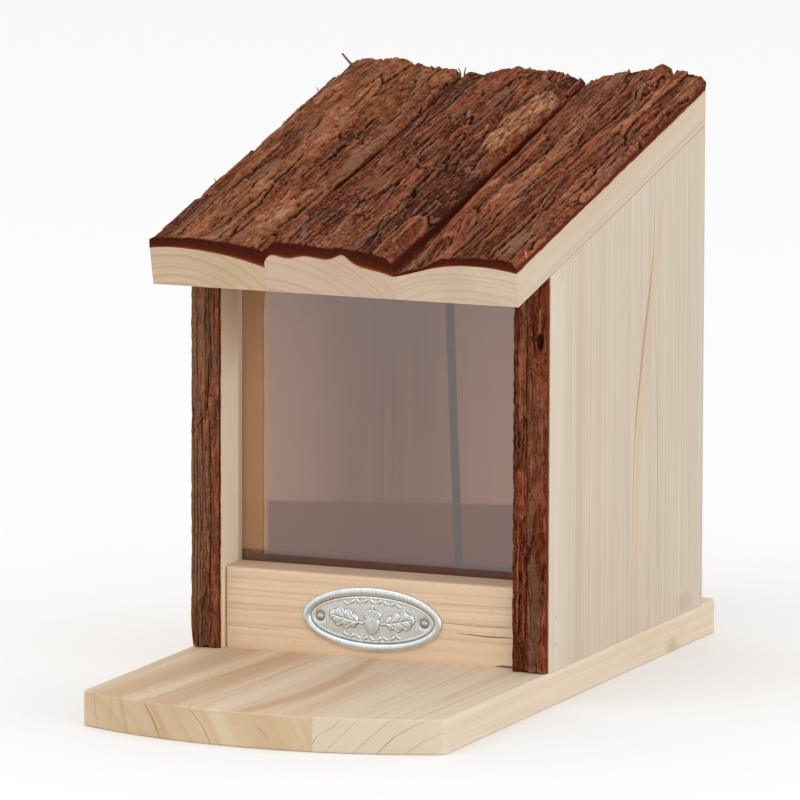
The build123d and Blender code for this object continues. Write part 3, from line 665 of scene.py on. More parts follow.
# Bark on the posts, measured from each strip's lower left corner
# variety: how strong the painted shade in its cracks and its changes of tone are
# jagged: how far its left and its right side are torn in
# corner: the width and the height of the piece that its lower left corner lacks
# smooth: from where to where, across and then along, its relief is calmer
# ridges: how far across it and how thick it is there, as shares of its width and its depth
# sheets: as torn_sheets takes them
STRIPS = {
    "left": dict(
        seed=131, variety=0.85, plates=(4.4, 90), redness=0.25, lightness=-0.2, jagged=(0.4, 0.5),
        corner=(2.0, 8.6), smooth=(9.8, 14.8, 19, 104), knots=[],
        ridges=[
            (0, 0.5), (0.06, 0.74), (0.3, 0.72), (0.5, 0.7), (0.62, 0.6), (0.66, 0.56), (0.85, 0.6),
            (1, 0.5),
        ],
        fissures=[
            (2.1, 20, 2.2, 97, 0.3), (3.9, 22, 3.6, 92, 0.3), (5.0, 19, 5.2, 70, 0.25),
            (6.5, 21, 6.3, 97, 0.3), (9.0, 15, 9.2, 99, 0.5), (7.6, 99, 8.8, 128, 0.5),
            (9.8, 116, 9.2, 150, 0.35), (11.7, 128, 11.2, 163, 0.35), (8.4, 150, 8.8, 189, 0.75),
            (3.2, 100, 3.8, 150, 0.2), (5.2, 2, 5.4, 18, 0.25), (9.4, 1, 9.8, 14, 0.25),
        ],
        sheets=[
            (4.2, 58, 4.5, 39, 1.1, 1, -0.02), (3.6, 146, 3.7, 49, 1.1, 1, -0.02),
            (10.2, 140, 1.5, 12, 0.7, -1, 0.1), (12.8, 158, 1.3, 16, 0.6, 1, 0.12),
            (9.9, 172, 1.3, 9, 0.7, 1, 0.1), (2.7, 131, 1.2, 4, 1.5, 1, 0.2),
        ],
        patches={
            "weathered": [
                (0.6, 4.0, 58, 5.2, 42), (0.66, 3.8, 150, 5.0, 50), (0.22, 12, 90, 3.4, 90),
                (0.85, 12.8, 111, 0.6, 3.8),
            ],
            "redness": [(0.3, 12, 60, 2.6, 60), (0.5, 12.5, 95, 4, 110)],
            "calm": [(0.8, 3.8, 105, 5.4, 100), (1.0, 15.6, 95, 2.4, 110)],
            "shade": [
                (-0.1, 12.4, 150, 3.4, 60), (0.06, 12, 60, 4, 60), (-0.08, 4, 60, 5, 42),
                (0.18, 12.8, 111, 0.8, 5), (-0.1, 6, 8, 7, 10),
            ],
        },
    ),
    "right": dict(
        seed=177, variety=0.5, plates=(7, 64), redness=0.8, lightness=-0.16, jagged=(1.5, 0.3),
        corner=(0.6, 3), smooth=(7.2, 15.9, 70, 132), knots=[(13.3, 142.6, 1.5, 3.4)],
        ridges=[
            (0, 0.5), (0.1, 0.62), (0.26, 0.6), (0.38, 0.62), (0.44, 0.72), (0.62, 0.8), (0.85, 0.76),
            (1, 0.62),
        ],
        fissures=[
            (6.1, 64, 7.0, 160, 0.42), (9.6, 108, 9.4, 132, 0.25), (4.6, 90, 5.4, 116, 0.3),
            (6.9, 12, 6.6, 50, 0.25), (3.4, 16, 3.0, 60, 0.2), (12.6, 150, 12.9, 188, 0.25),
            (8.9, 160, 8.6, 186, 0.25), (9.2, 14, 9.4, 40, 0.2),
        ],
        sheets=[
            (4.9, 130, 1.9, 21, 0.9, -1, 0.2), (3.6, 76.5, 3.1, 10.5, 0.8, 1, 0.22),
            (13.1, 152, 0.7, 6, 0.8, 1, 0.3), (3.4, 170, 2.4, 14, 0.7, 1, 0.12),
            (10.5, 172, 1.5, 16, 0.6, -1, 0.1), (14.2, 103, 0.5, 6, 0.5, 1, 0.35),
            (2.6, 40, 0.7, 22, 0.5, 1, 0.3), (5.5, 34, 0.8, 18, 0.5, -1, 0.2),
            (13.9, 66, 1.4, 18, 0.4, 1, 0.06), (1.4, 104, 1.2, 7, 0.9, 1, -0.15),
            (8.6, 88, 1.2, 12, 0.4, 1, 0.08),
        ],
        patches={
            "shade": [
                (-0.28, 2.0, 99, 2.6, 10), (-0.5, 10.7, 29, 1.4, 21), (-0.12, 11, 160, 4, 26),
                (0.12, 10.4, 176, 0.5, 12), (0.12, 7.4, 150, 0.6, 16), (0.3, 11.6, 0.8, 3.2, 2.2),
            ],
            "redness": [(0.5, 3.6, 40, 2.4, 26), (0.5, 14.2, 103, 0.7, 7)],
            "weathered": [
                (0.22, 11.4, 100, 4.4, 34), (0.5, 10.6, 27, 2.9, 26), (0.9, 11.6, 0.8, 3.2, 2.2),
                (0.5, 13.1, 152, 0.8, 6),
            ],
            "calm": [(0.8, 8, 95, 20, 200)],
        },
    ),
}


def slots(across, along, fissures, seed, wobble=0.8):
    """How far into the fissures each point is, from 0 to 1, and how far down their banks."""
    slot = np.zeros(across.shape)
    bank = np.zeros(across.shape)
    for index, (start_a, start_l, end_a, end_l, half) in enumerate(fissures):
        share = np.clip((along - start_l) / (end_l - start_l), 0, 1)
        past = np.maximum(start_l - along, along - end_l)
        line = start_a + share * (end_a - start_a)
        row = along * 0 + 3.7 * index
        line = line + wobble * (noise(along / 11, row, seed) + 0.6 * layered(along / 3.0, row, seed + 1))
        broken = step(-1.0, -0.5, noise(along / 8, row, seed + 3) + 0.3 * noise(along / 2.3, row, seed + 4))
        taper = np.sqrt(np.clip(4 * share * (1 - share), 0, 1)) * step(1.5, 0, past)
        reach = 0.9 * half * (0.35 + 0.65 * taper) * (0.9 + 0.3 * noise(along / 4, row, seed + 2))
        gap = np.abs(across - line)
        slot = np.maximum(slot, step(1.1, 0.3, gap / reach) * np.sqrt(taper) * broken)
        bank = np.maximum(bank, np.exp(-(gap / (2.4 * half)) ** 2) * taper)
    return slot, bank


def torn_sheets(across, along, sheets, seed):
    """Loose sheets of bark with torn edges: how high each point is raised, and how much lighter it is.

    Each sheet is its middle across and along, half its width and length, its rise, its tilt and its shade.
    """
    raised = np.zeros(across.shape)
    lighter = np.zeros(across.shape)
    for index, (middle_a, middle_l, half_a, half_l, rise, tilt, shade) in enumerate(sheets):
        row = along * 0 + 5.3 * index
        bent = across + 0.7 * layered(along / 7, row, seed) - middle_a
        skew = 0.1 * (index % 5 - 2) * bent * half_l / half_a
        torn = along + 2.2 * layered(across / 1.3, row, seed + 3) + skew - middle_l
        inside = step(half_a, half_a - 0.45, np.abs(bent)) * step(half_l, half_l - 0.9, np.abs(torn))
        lift = rise * (0.75 + 0.5 * tilt * np.clip(bent / half_a, -1, 1)) * inside
        over = lift > raised
        raised = np.where(over, lift, raised)
        lighter = np.where(over, shade * inside, lighter)
    return raised, lighter


def scattered_sheets(width, length, seed):
    """A random set of torn sheets for a surface of this size."""
    index = np.arange(SHEET_COUNT)
    draws = [hashed(index, index * 0 + kind, seed) for kind in range(7)]
    sheets = []
    for middle_a, middle_l, half_a, half_l, rise, tilt, shade in zip(*draws):
        sheets.append((
            middle_a * width, middle_l * length, 0.9 + 2.6 * half_a ** 2, 5 + 20 * half_l ** 2,
            0.45 + 0.6 * rise, 1 if tilt > 0.4 else -1, 0.3 * shade - 0.12,
        ))
    return sheets


def shade_and_highlight_of(height):
    """How much painted shade each point of a grid of heights gets for lying below its neighbours, as in a
    crack, and how much painted highlight for standing above them, each from 0 to 1.
    """
    near = blurred(height, 3, 3) - height
    wide = blurred(height, 8, 10) - height
    crack = np.clip(step(0.16, 0.42, near) + 0.85 * step(0.3, 1.1, wide), 0, 1)
    return crack, step(0.05, 0.4, -near)


def plates(across, along, seed, width, length):
    """Plates of about this size: a random number for each point's plate, its lean, how far its edge is."""
    a = across / width
    l = along / length
    nearest = np.full(across.shape, 9.0)
    second = np.full(across.shape, 9.0)
    number = np.zeros(across.shape)
    lean = np.zeros(across.shape)
    for step_a in (-1, 0, 1):
        for step_l in (-1, 0, 1):
            cell_a = np.floor(a) + step_a
            cell_l = np.floor(l) + step_l
            off_a = a - cell_a - 0.1 - 0.8 * hashed(cell_a, cell_l, seed)
            off_l = l - cell_l - 0.1 - 0.8 * hashed(cell_a, cell_l, seed + 1)
            far = (np.abs(off_a) ** 3 + np.abs(off_l) ** 3) ** (1 / 3)
            closer = far < nearest
            second = np.where(closer, nearest, np.minimum(second, far))
            number = np.where(closer, hashed(cell_a, cell_l, seed + 2), number)
            slope = 2 * hashed(cell_a, cell_l, seed + 3) - 1
            lean = np.where(closer, slope * off_a + 0.6 * (1 - np.abs(slope)) * off_l, lean)
            nearest = np.minimum(nearest, far)
    return number, lean, (second - nearest) * width / 2


def bark_relief(across, along, seed, size, strength=1.0):
    """Heights in mm of plated bark about its even surface, and named values that colour it."""
    bent = across + 1.8 * layered(across / 16, along / 45, seed)
    bent = bent + 0.55 * layered(across / 1.7, along / 3.0, seed + 5)
    torn = along + 6 * layered(across / 2.2, along / 10, seed + 9)
    large, lean, edge = plates(bent, torn, seed + 11, *size)
    small, small_lean, small_edge = plates(bent, torn, seed + 17, size[0] * 0.42, size[1] * 0.4)
    flaky = step(-0.35, 0.35, noise(across / 11, along / 38, seed + 31))
    # Furrows run where this noise passes through zero
    furrow = np.abs(layered(bent / (size[0] * 0.9), along / (size[1] * 1.7), seed + 13, 2))
    ridge = 1 - np.exp(-furrow / 0.17)
    height = large - 0.5 + 1.2 * lean + 0.8 * ridge
    height = height + 0.35 * layered(across / 15, along / 60, seed + 41)
    height = height + (0.15 + 0.85 * flaky) * (0.4 * (small - 0.5) + 0.4 * small_lean)
    # Thin layers lie one on another, each torn off along a ragged line
    pile = 2.8 * layered(bent / (size[0] * 0.9), torn / (size[1] * 0.6), seed + 51, 2)
    layer = np.floor(pile)
    height = height + 0.62 * (layer + step(0.86, 1.0, pile - layer) - 0.8 * pile)
    # Plates are parted along some of their edges only
    open_edge = step(-0.1, 0.4, layered(across / 5, along / 13, seed + 37, 2))
    height = height - 1.1 * step(0.45, 0.15, edge) * open_edge
    height = height - 0.4 * step(0.3, 0.05, small_edge) * flaky * open_edge
    fibres = layered(bent / 0.62, along / 22, seed + 71)
    height = height + (0.1 + 0.3 * (1 - ridge)) * fibres
    height = height + 0.12 * layered(across / 0.85, along / 1.8, seed + 83) - 0.8
    shade = 0.5 + 0.42 * (large - 0.5) + 0.35 * (small - 0.5) * (0.4 + 0.6 * flaky) + 0.12 * fibres
    shade = shade + 0.34 * (hashed(layer, layer * 0, seed + 97) - 0.5)
    old = step(0.8, 0.86, hashed(np.floor(large * 977), np.floor(small * 31), seed + 91))
    values = {
        "shade": shade + 0.12 * layered(across / 6, along / 24, seed + 101),
        "redness": 0.3 * (small - 0.5) + 0.3 * layered(across / 12, along / 40, seed + 113),
        "weathered": 0.4 * old,
        "bare": np.zeros(across.shape),
    }
    return strength * height, values


def patch_at(across, along, oval, seed):
    """1 inside an uneven oval patch and 0 outside it. The oval is its middle and its reach each way."""
    middle_a, middle_l, reach_a, reach_l = oval
    far = np.sqrt(((across - middle_a) / reach_a) ** 2 + ((along - middle_l) / reach_l) ** 2)
    return step(1.2, 0.75, far + 0.3 * layered(across / 3, along / 9, seed))


def add_patches(values, patches, across, along, seed):
    """Adds each uneven oval patch to the value that it changes."""
    for kind, rows in patches.items():
        for strength, *oval in rows:
            values[kind] = values[kind] + strength * patch_at(across, along, oval, seed + 7)


def slab_surface(name, across, along):
    """The top of one sheet of the roof's bark on a grid, and the values that colour it."""
    look = SLABS[name]
    seed = look["seed"]
    front, middle, rear = (np.interp(across, look["places"], row) for row in look["tops"])
    share = along / ROOF_RUN
    near = np.clip(share / MIDDLE_STATION, 0, 1)
    far = np.clip((share - MIDDLE_STATION) / (1 - MIDDLE_STATION), 0, 1)
    even = front + (middle - front) * near + (rear - middle) * far
    skewed = across
    if name == "right":
        skewed = across + ASKEW_TURN * (along - ASKEW_PIVOT) * patch_at(across, along, ASKEW_OVAL, seed)
    height, values = bark_relief(skewed, along, seed, look["plates"])
    loose = scattered_sheets(across.max() - across.min(), ROOF_RUN, seed + 61)
    raised, lighter = torn_sheets(skewed - across.min(), along, loose, seed + 67)
    slot, bank = slots(across, along, look["fissures"], seed + 200)
    height = height + 0.9 * raised - 0.35 - 0.8 * bank - 2.0 * slot
    # Low points, fissures and their banks get painted shade, and raised points a painted highlight
    crack, worn = shade_and_highlight_of(height)
    values["crack"] = np.clip(np.maximum(crack, slot) + 0.32 * bank, 0, 1)
    values["worn"] = worn
    values["redness"] = values["redness"] + look["redness"]
    values["shade"] = values["shade"] + lighter + look["lightness"]
    add_patches(values, look["patches"], across, along, seed)
    for _, *oval in look["patches"].get("bare", ()):
        bare = patch_at(across, along, oval, seed + 7)
        height = height * (1 - 0.6 * bare)
        values["crack"] = values["crack"] * (1 - 0.7 * bare)
    # The relief is calmer close to the front cut
    top = even + height * (0.35 + 0.65 * step(0, CALM_REACH, along))
    if name == "right":
        gap = np.abs(across - FLAKE_MIDDLE)
        back = ROOF_RUN - along
        flake = step(FLAKE_HALF, FLAKE_HALF - 0.7, gap) * step(FLAKE_LENGTH, FLAKE_LENGTH - 1, back)
        raised = FLAKE_CROWN - 0.35 * gap ** 1.2 + 0.25 * height
        top = top * (1 - flake) + raised * flake
        beside = np.abs(across - FLAKE_MIDDLE - FLAKE_HALF - FLAKE_GAP)
        top = top - FLAKE_GAP_DEPTH * step(1.1, 0.5, beside) * step(15, 11, back)
    values["weathered"] = np.clip(values["weathered"], 0, 0.9)
    values["redness"] = np.clip(values["redness"], 0, 1)
    return top, values


RAY_REACH = 0.1  # in metres
RAY_INSET = 1e-5


def plank_tops(name, across):
    """Heights in mm of a roof plank's rounded top above the roof's underside, measured on the CAD board."""
    board = nodes["roof_plank_" + name].data
    tree = BVHTree.FromPolygons([v.co for v in board.vertices], [p.vertices for p in board.polygons])
    below = ROOF_REAR - ROOF_ALONG * RAY_REACH
    low, high = (corner.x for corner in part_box("roof_plank_" + name))
    tops = []
    for place in across:
        x = min(max(place * MM + MIDDLE_X, low + RAY_INSET), high - RAY_INSET)
        hit = tree.ray_cast(Vector((x, below.y, below.z)) + ROOF_UP * RAY_REACH, -ROOF_UP)[0]
        tops.append((hit - below).dot(ROOF_UP) / MM)
    return np.array(tops)


def roof_bark(name):
    """One plank's sheet of bark, as a closed mesh on the plank's rounded top."""
    node = "roof_bark_" + name
    seed = SLABS[name]["seed"]
    low, high = ((corner.x - MIDDLE_X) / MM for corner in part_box(node))

    def surface(share_across, share_along):
        return slab_surface(name, low + share_across * (high - low), share_along * ROOF_RUN)

    u, v, w, faces, surface_up, values = dressed_lattice(SLAB_GRID, surface)
    across = low + u * (high - low)
    columns = np.linspace(low, high, PLANK_COLUMNS)
    under = np.interp(across, columns, plank_tops(name, columns)) - BARK_SLACK
    top = np.maximum(surface_up, under + THINNEST)
    up = under + (top - under) * w
    ragged = 0.3 + 0.35 * layered(up / 2.2, v * ROOF_RUN / 5, seed + 7)
    across = across + (step(0.012, 0, u) - step(0.988, 1, u)) * ragged
    across = np.clip(across, low + SIDE_SLACK, high - SIDE_SLACK)
    # The front is cut square to the slope and the rear is cut plumb
    start = 0.15 + step(0.004, 0, v) * (0.25 + 0.35 * layered(across / 2.6, up / 2.0, seed + 8))
    end = ROOF_RUN + up * math.tan(ROOF_SLOPE) - BARK_SLACK
    along = start + v * (end - start)
    points = (
        np.outer(across * MM + MIDDLE_X, (1, 0, 0))
        + np.outer((along - ROOF_RUN) * MM, ROOF_ALONG)
        + np.outer(up * MM, ROOF_UP)
        + np.array(ROOF_REAR)
    )
    rim = np.maximum(step(0.99, 1, u), step(0.01, 0, u))
    rim = rim * (0.35 + 0.5 * step(-0.3, 0.3, layered(v * ROOF_RUN / 6, up / 3, seed + 9)))
    values["cut"] = np.maximum(((u <= 0) | (u >= 1) | (v <= 0) | (v >= 1)) & (w < 1), rim)
    # Its long sides were cut through the redder inner bark
    values["level"] = np.where(rim > 0, np.minimum(0.05 + 0.3 * w, 0.3), w)
    piece = mesh_piece("bark_slab_" + name, points, faces, values)
    give(piece, BARK)
    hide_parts(node)
    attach(piece, "roof")


def strip_surface(name, across, along, depth, width):
    """On a grid, how far the face of a post's bark stands off the post, and the values that colour it."""
    look = STRIPS[name]
    seed = look["seed"]
    height, values = bark_relief(across + 40, along, seed, look["plates"], 0.45)
    low_a, high_a, low_l, high_l = look["smooth"]
    smooth = step(low_a - 0.5, low_a + 0.5, across) * step(high_a + 0.5, high_a - 0.5, across)
    smooth = smooth * step(low_l - 4, low_l + 4, along) * step(high_l + 4, high_l - 4, along)
    raised, lighter = torn_sheets(across, along, look["sheets"], seed + 5)
    slot, bank = slots(across, along, look["fissures"], seed + 200, 0.35)
    height = height * (1 - 0.6 * smooth) + raised - 0.3 * bank - 1.3 * slot
    values["calm"] = np.zeros(across.shape)
    add_patches(values, look["patches"], across, along, seed)
    # Low points and fissures get painted shade, and raised points a painted highlight; each knot is sunk
    # and painted as dark
    crack, worn = shade_and_highlight_of(height)
    crack = np.maximum(0.65 * look["variety"] * crack, 0.9 * slot)
    for oval in look["knots"]:
        knot = patch_at(across, along, oval, seed + 9)
        crack = np.maximum(crack, knot)
        height = height - 0.8 * knot
    values["crack"] = 0.92 * crack
    values["worn"] = 0.7 * worn
    values["shade"] = 0.5 + look["variety"] * (values["shade"] - 0.5) + lighter + look["lightness"]
    values["redness"] = np.clip(values["redness"] + look["redness"], 0, 1)
    values["weathered"] = np.clip(values["weathered"], 0, 0.9)
    face = depth * np.interp(across / width, *np.array(look["ridges"]).T) + height
    return np.clip(face, 1.0, depth - SIDE_SLACK), values


def post_bark(name):
    """A strip of bark down the front of a post, as a closed mesh."""
    look = STRIPS[name]
    seed = look["seed"]
    node = "post_bark_" + name
    low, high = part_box(node)
    width, depth, length = ((high - low) / MM)[:]

    def surface(share_across, share_along):
        return strip_surface(name, share_across * width, share_along * length, depth, width)

    u, v, w, faces, face, values = dressed_lattice(STRIP_GRID, surface)
    out = face * w
    along = v * length
    left, right = (
        0.25 + reach * np.abs(layered(out / 2.6 + 9 * side, along / 6, seed + 7))
        for side, reach in enumerate(look["jagged"])
    )
    across = left + u * (width - left - right)
    missing, tall = look["corner"]
    notch = missing * np.clip(1 - along / tall + 0.2 * noise(along / 1.5, out / 2, seed + 12), 0, 1)
    across = np.maximum(across, notch * (1 - u))
    up = along + step(0.008, 0, v) * (0.6 + 0.8 * noise(across / 2.5, out / 2.0, seed)) * w
    points = np.stack([low.x + across * MM, high.y - out * MM, low.z + up * MM], -1)
    # The top of the strip is cut to the roof's slope
    roof_gap = ROOF_REAR.z - LID_GAP + (points[:, 1] - ROOF_REAR.y) * math.tan(ROOF_SLOPE)
    points[:, 2] = np.minimum(points[:, 2], roof_gap)
    side_cut = ((u <= 0) | (u >= 1)) & (w < 1)
    values["cut"] = side_cut | (((v <= 0) | (v >= 1)) & (w < 1))
    # The sides were cut through the pale inner bark
    values["level"] = np.where(side_cut, 0.07 + 0.12 * w, w)
    piece = mesh_piece("bark_strip_" + name, points, faces, values)
    give(piece, BARK)
    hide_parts(node)
    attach(piece, "root")


# Thin slivers that stand off the bark: places across, along and above the roof's underside, the radius at
# the first and at the last of them, all in mm, and the colour
SLIVERS = {
    "twig": ([(-78.5, 213.5, 21.0), (-81.5, 214.6, 23.6), (-84.7, 216, 26.3)], 0.6, 0.46, (122, 78, 52)),
    "rootlet": (
        [(-75, 224, 20.6), (-77.2, 213, 21.3), (-79.5, 200, 21.3), (-81, 189, 21.0), (-83.2, 178, 20.2)],
        0.5, 0.25, (98, 62, 46),
    ),
    "splinter": ([(82.2, 13.4, 15.5), (82.4, 13.0, 18.4), (82.3, 12.4, 20.6)], 0.5, 0.12, (214, 172, 132)),
    "fibre_a": ([(-31, 221, 17), (-31.3, 221.5, 19), (-31.8, 221, 20.6)], 0.36, 0.2, (120, 62, 42)),
    "fibre_b": ([(-29.5, 221.5, 17), (-29.2, 222, 19), (-28.6, 222, 20.8)], 0.38, 0.2, (128, 66, 44)),
    "fibre_c": ([(-83.2, 69, 19.6), (-84.2, 70.2, 20.9), (-84.9, 71.5, 21.6)], 0.26, 0.12, (96, 66, 52)),
    "fibre_d": ([(-83.2, 184, 19), (-84.2, 185.2, 20.6), (-84.9, 186, 21.4)], 0.3, 0.14, (110, 66, 46)),
}
SLIVER_SIDES = 7


def sliver(name, places, thick, thin, colour):
    """A round sliver that tapers along a line of places on the roof."""
    line = []
    for across, along, up in places:
        start = ROOF_REAR + Vector((MIDDLE_X + across * MM, 0, 0))
        line.append(start + ROOF_ALONG * (along - ROOF_RUN) * MM + ROOF_UP * up * MM)
    last = len(line) - 1
    points = []
    for index, place in enumerate(line):
        way = (line[min(index + 1, last)] - line[max(index - 1, 0)]).normalized()
        side = way.orthogonal().normalized()
        radius = (thick + (thin - thick) * index / last) * MM
        for turn in range(SLIVER_SIDES):
            points.append(place + Matrix.Rotation(turn * math.tau / SLIVER_SIDES, 3, way) @ side * radius)
    ends = range(SLIVER_SIDES), range(len(points) - SLIVER_SIDES, len(points))
    faces = [tuple(reversed(ends[0])), *band_faces(len(line), SLIVER_SIDES), tuple(ends[1])]
    piece = mesh_piece("sliver_" + name, np.array(points), faces)
    give(piece, Paint("sliver_" + name, Roughness=0.9).finish(colour))
    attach(piece, "roof")


for side in SLABS:
    roof_bark(side)
for side in STRIPS:
    post_bark(side)
for name, shape in SLIVERS.items():
    sliver(name, *shape)

# Boards. Colours are screen values out of 255
PALE = (207, 193, 175)
LATE = (182, 158, 132)
WARM = (198, 181, 162)
RESIN = (176, 128, 92)
BASE_LINE = (168, 126, 92)

# Marks, by the axis that they run along and the axis across it: 0 is X, 1 is Y and 2 is Z. Each mark has
# places, which are how far along, how far across and half the width in mm, its colour and its strength
SIDE_MARKS = {(2, 1): [
    ([(4, 4, 4), (60, 2, 5), (195, 6, 4)], (188, 164, 138), 0.3),
    ([(4, 26, 2.5), (110, 24, 4), (198, 28, 3)], (190, 166, 140), 0.35),
    ([(4, 40, 2), (120, 42, 3), (198, 41, 2)], (192, 168, 142), 0.3),
    ([(4, 67, 3), (90, 69, 4.5), (160, 86, 5), (205, 98, 1)], (200, 168, 138), 0.35),
    ([
        (13.5, 62.8, 0.35), (55, 63.4, 0.3), (96.5, 64.9, 0.5), (112, 67.6, 1.1), (147, 77, 1.8),
        (164, 82.5, 1.3), (181, 86.6, 0.5), (198, 87.6, 0.2),
    ], RESIN, 0.78),
    ([(25.6, 95.9, 0.25), (114.4, 91.8, 0.35), (158.7, 88.6, 0.2)], (142, 106, 84), 0.62),
    # Fine straight growth lines
    *(([(4, y, 0.3), (205, y + 1.5, 0.3)], LATE, 0.5) for y in (9, 12.5, 19.5, 23, 35, 46.5)),
    *(([(4, y, 0.3), (205, y + 2, 0.25)], LATE, 0.45) for y in (106, 121, 127, 131.5)),
]}
BOARD_MARKS = {(0, 2): [
    ([(40, 28.6, 0.1), (54, 28.1, 0.4), (66, 28.3, 0.3)], (112, 70, 44), 0.9),
    ([(30, 32.8, 0.1), (48, 32.2, 0.25), (64, 32.6, 0.3)], (150, 104, 70), 0.7),
    ([(-68, 24.6, 0.2), (-50, 24.2, 0.25), (-38, 24.4, 0.1)], (170, 122, 84), 0.6),
    ([(20, 41.2, 0.1), (40, 41.0, 0.25), (67, 41.4, 0.2)], (176, 128, 88), 0.6),
    # Painted shade in the gap at the foot of the board's right end
    ([(57, 15.4, 0.1), (61, 15.8, 0.5), (67, 15.6, 0.6)], (66, 38, 24), 0.9),
]}
# Growth lines on the top and the front end of the wide base plank, then of the narrow one
BASE_MARKS = {
    (1, 0): [
        ([(-165, -40, 10), (-100, -36, 10), (-30, -32, 9)], (196, 160, 122), 0.75),
        ([(-165, -68, 10), (-100, -62, 11), (-30, -56, 10)], (190, 156, 120), 0.7),
        ([(-165, -13, 5), (-100, -9, 6), (-30, -10, 6)], (228, 212, 188), 0.5),
        ([(-165, -50, 0.45), (-130, -44.2, 0.4), (-81, -40, 0.5), (-30, -34, 0.3)], BASE_LINE, 0.7),
        ([(-165, -25.5, 0.3), (-116, -22.9, 0.35), (-56, -20.4, 0.4), (-30, -19, 0.2)], BASE_LINE, 0.65),
        ([(-165, -0.5, 4), (-123, 7.8, 5.5), (-85, 9, 5), (-30, 2.5, 3)], (190, 152, 116), 0.62),
        ([(-165, 20, 3), (-123, 21.5, 3.5), (-60, 19, 3)], (200, 168, 134), 0.4),
        ([
            (-165, -63.7, 0.8), (-115, -60.3, 0.7), (-67, -56.8, 0.5), (-30, -52, 0.4),
        ], (192, 156, 118), 0.45),
        ([(-165, -74, 0.8), (-100, -72, 0.6), (-30, -70, 0.5)], (198, 164, 128), 0.35),
    ],
    (2, 0): [
        ([(0, -39.3, 0.4), (8, -43.2, 0.6), (14.5, -47.5, 0.6)], (158, 104, 60), 0.75),
        ([(0, -36, 2.2), (14.5, -43.5, 2)], (190, 150, 108), 0.45),
        ([(0, -14.5, 0.5), (8, -19, 0.5), (14.5, -25.2, 0.5)], (150, 122, 88), 0.6),
        ([(0, -56.4, 1.2), (15, -60.5, 1.2)], (176, 146, 98), 0.45),
        ([(0, -66, 1.4), (15, -65, 1.2)], (184, 154, 112), 0.3),
        ([(0, -73, 0.5), (15, -75, 0.5)], (170, 136, 98), 0.4),
        ([(0, 14, 10), (15, 12, 9)], (196, 162, 122), 0.5),
        ([(0, -5, 5), (15, -13, 5)], (214, 196, 164), 0.6),
        ([(4, 12, 0.5), (11, 5, 0.8)], (170, 128, 90), 0.45),
    ],
}
NARROW_MARKS = {
    (1, 0): [
        ([(-165, 43.5, 0.25), (-60, 44.6, 0.25)], (190, 160, 130), 0.5),
        ([(-165, 48.5, 0.35), (-113, 50.1, 0.35), (-30, 51.4, 0.35)], (178, 146, 116), 0.65),
        ([(-165, 63.4, 0.3), (-60, 64.8, 0.3)], (188, 158, 128), 0.5),
        ([(-165, 71.2, 0.35), (-121, 72.5, 0.35), (-30, 75.2, 0.35)], (176, 144, 114), 0.65),
        ([(-110, 66.5, 3), (-30, 68, 4)], (206, 180, 154), 0.5),
        ([(-80, 37, 3), (-30, 37, 4)], (206, 182, 156), 0.45),
    ],
    (2, 0): [
        ([(2.3, 29.9, 0.3), (7, 32.6, 0.3), (11, 39, 0.3), (15, 43.3, 0.25)], (158, 132, 108), 0.75),
        ([(0, 35.5, 0.25), (8, 43, 0.25), (15, 50, 0.2)], (172, 146, 120), 0.65),
        ([(0, 47, 0.3), (8, 55.2, 0.3), (15, 63, 0.25)], (154, 128, 104), 0.75),
        ([(0, 56.6, 0.35), (8, 64.5, 0.35), (12, 71, 0.35), (15, 77.5, 0.3)], (148, 120, 96), 0.8),
        ([(0.5, 68.5, 0.3), (6, 75.5, 0.3), (12, 88, 0.3)], (152, 126, 102), 0.75),
    ],
}

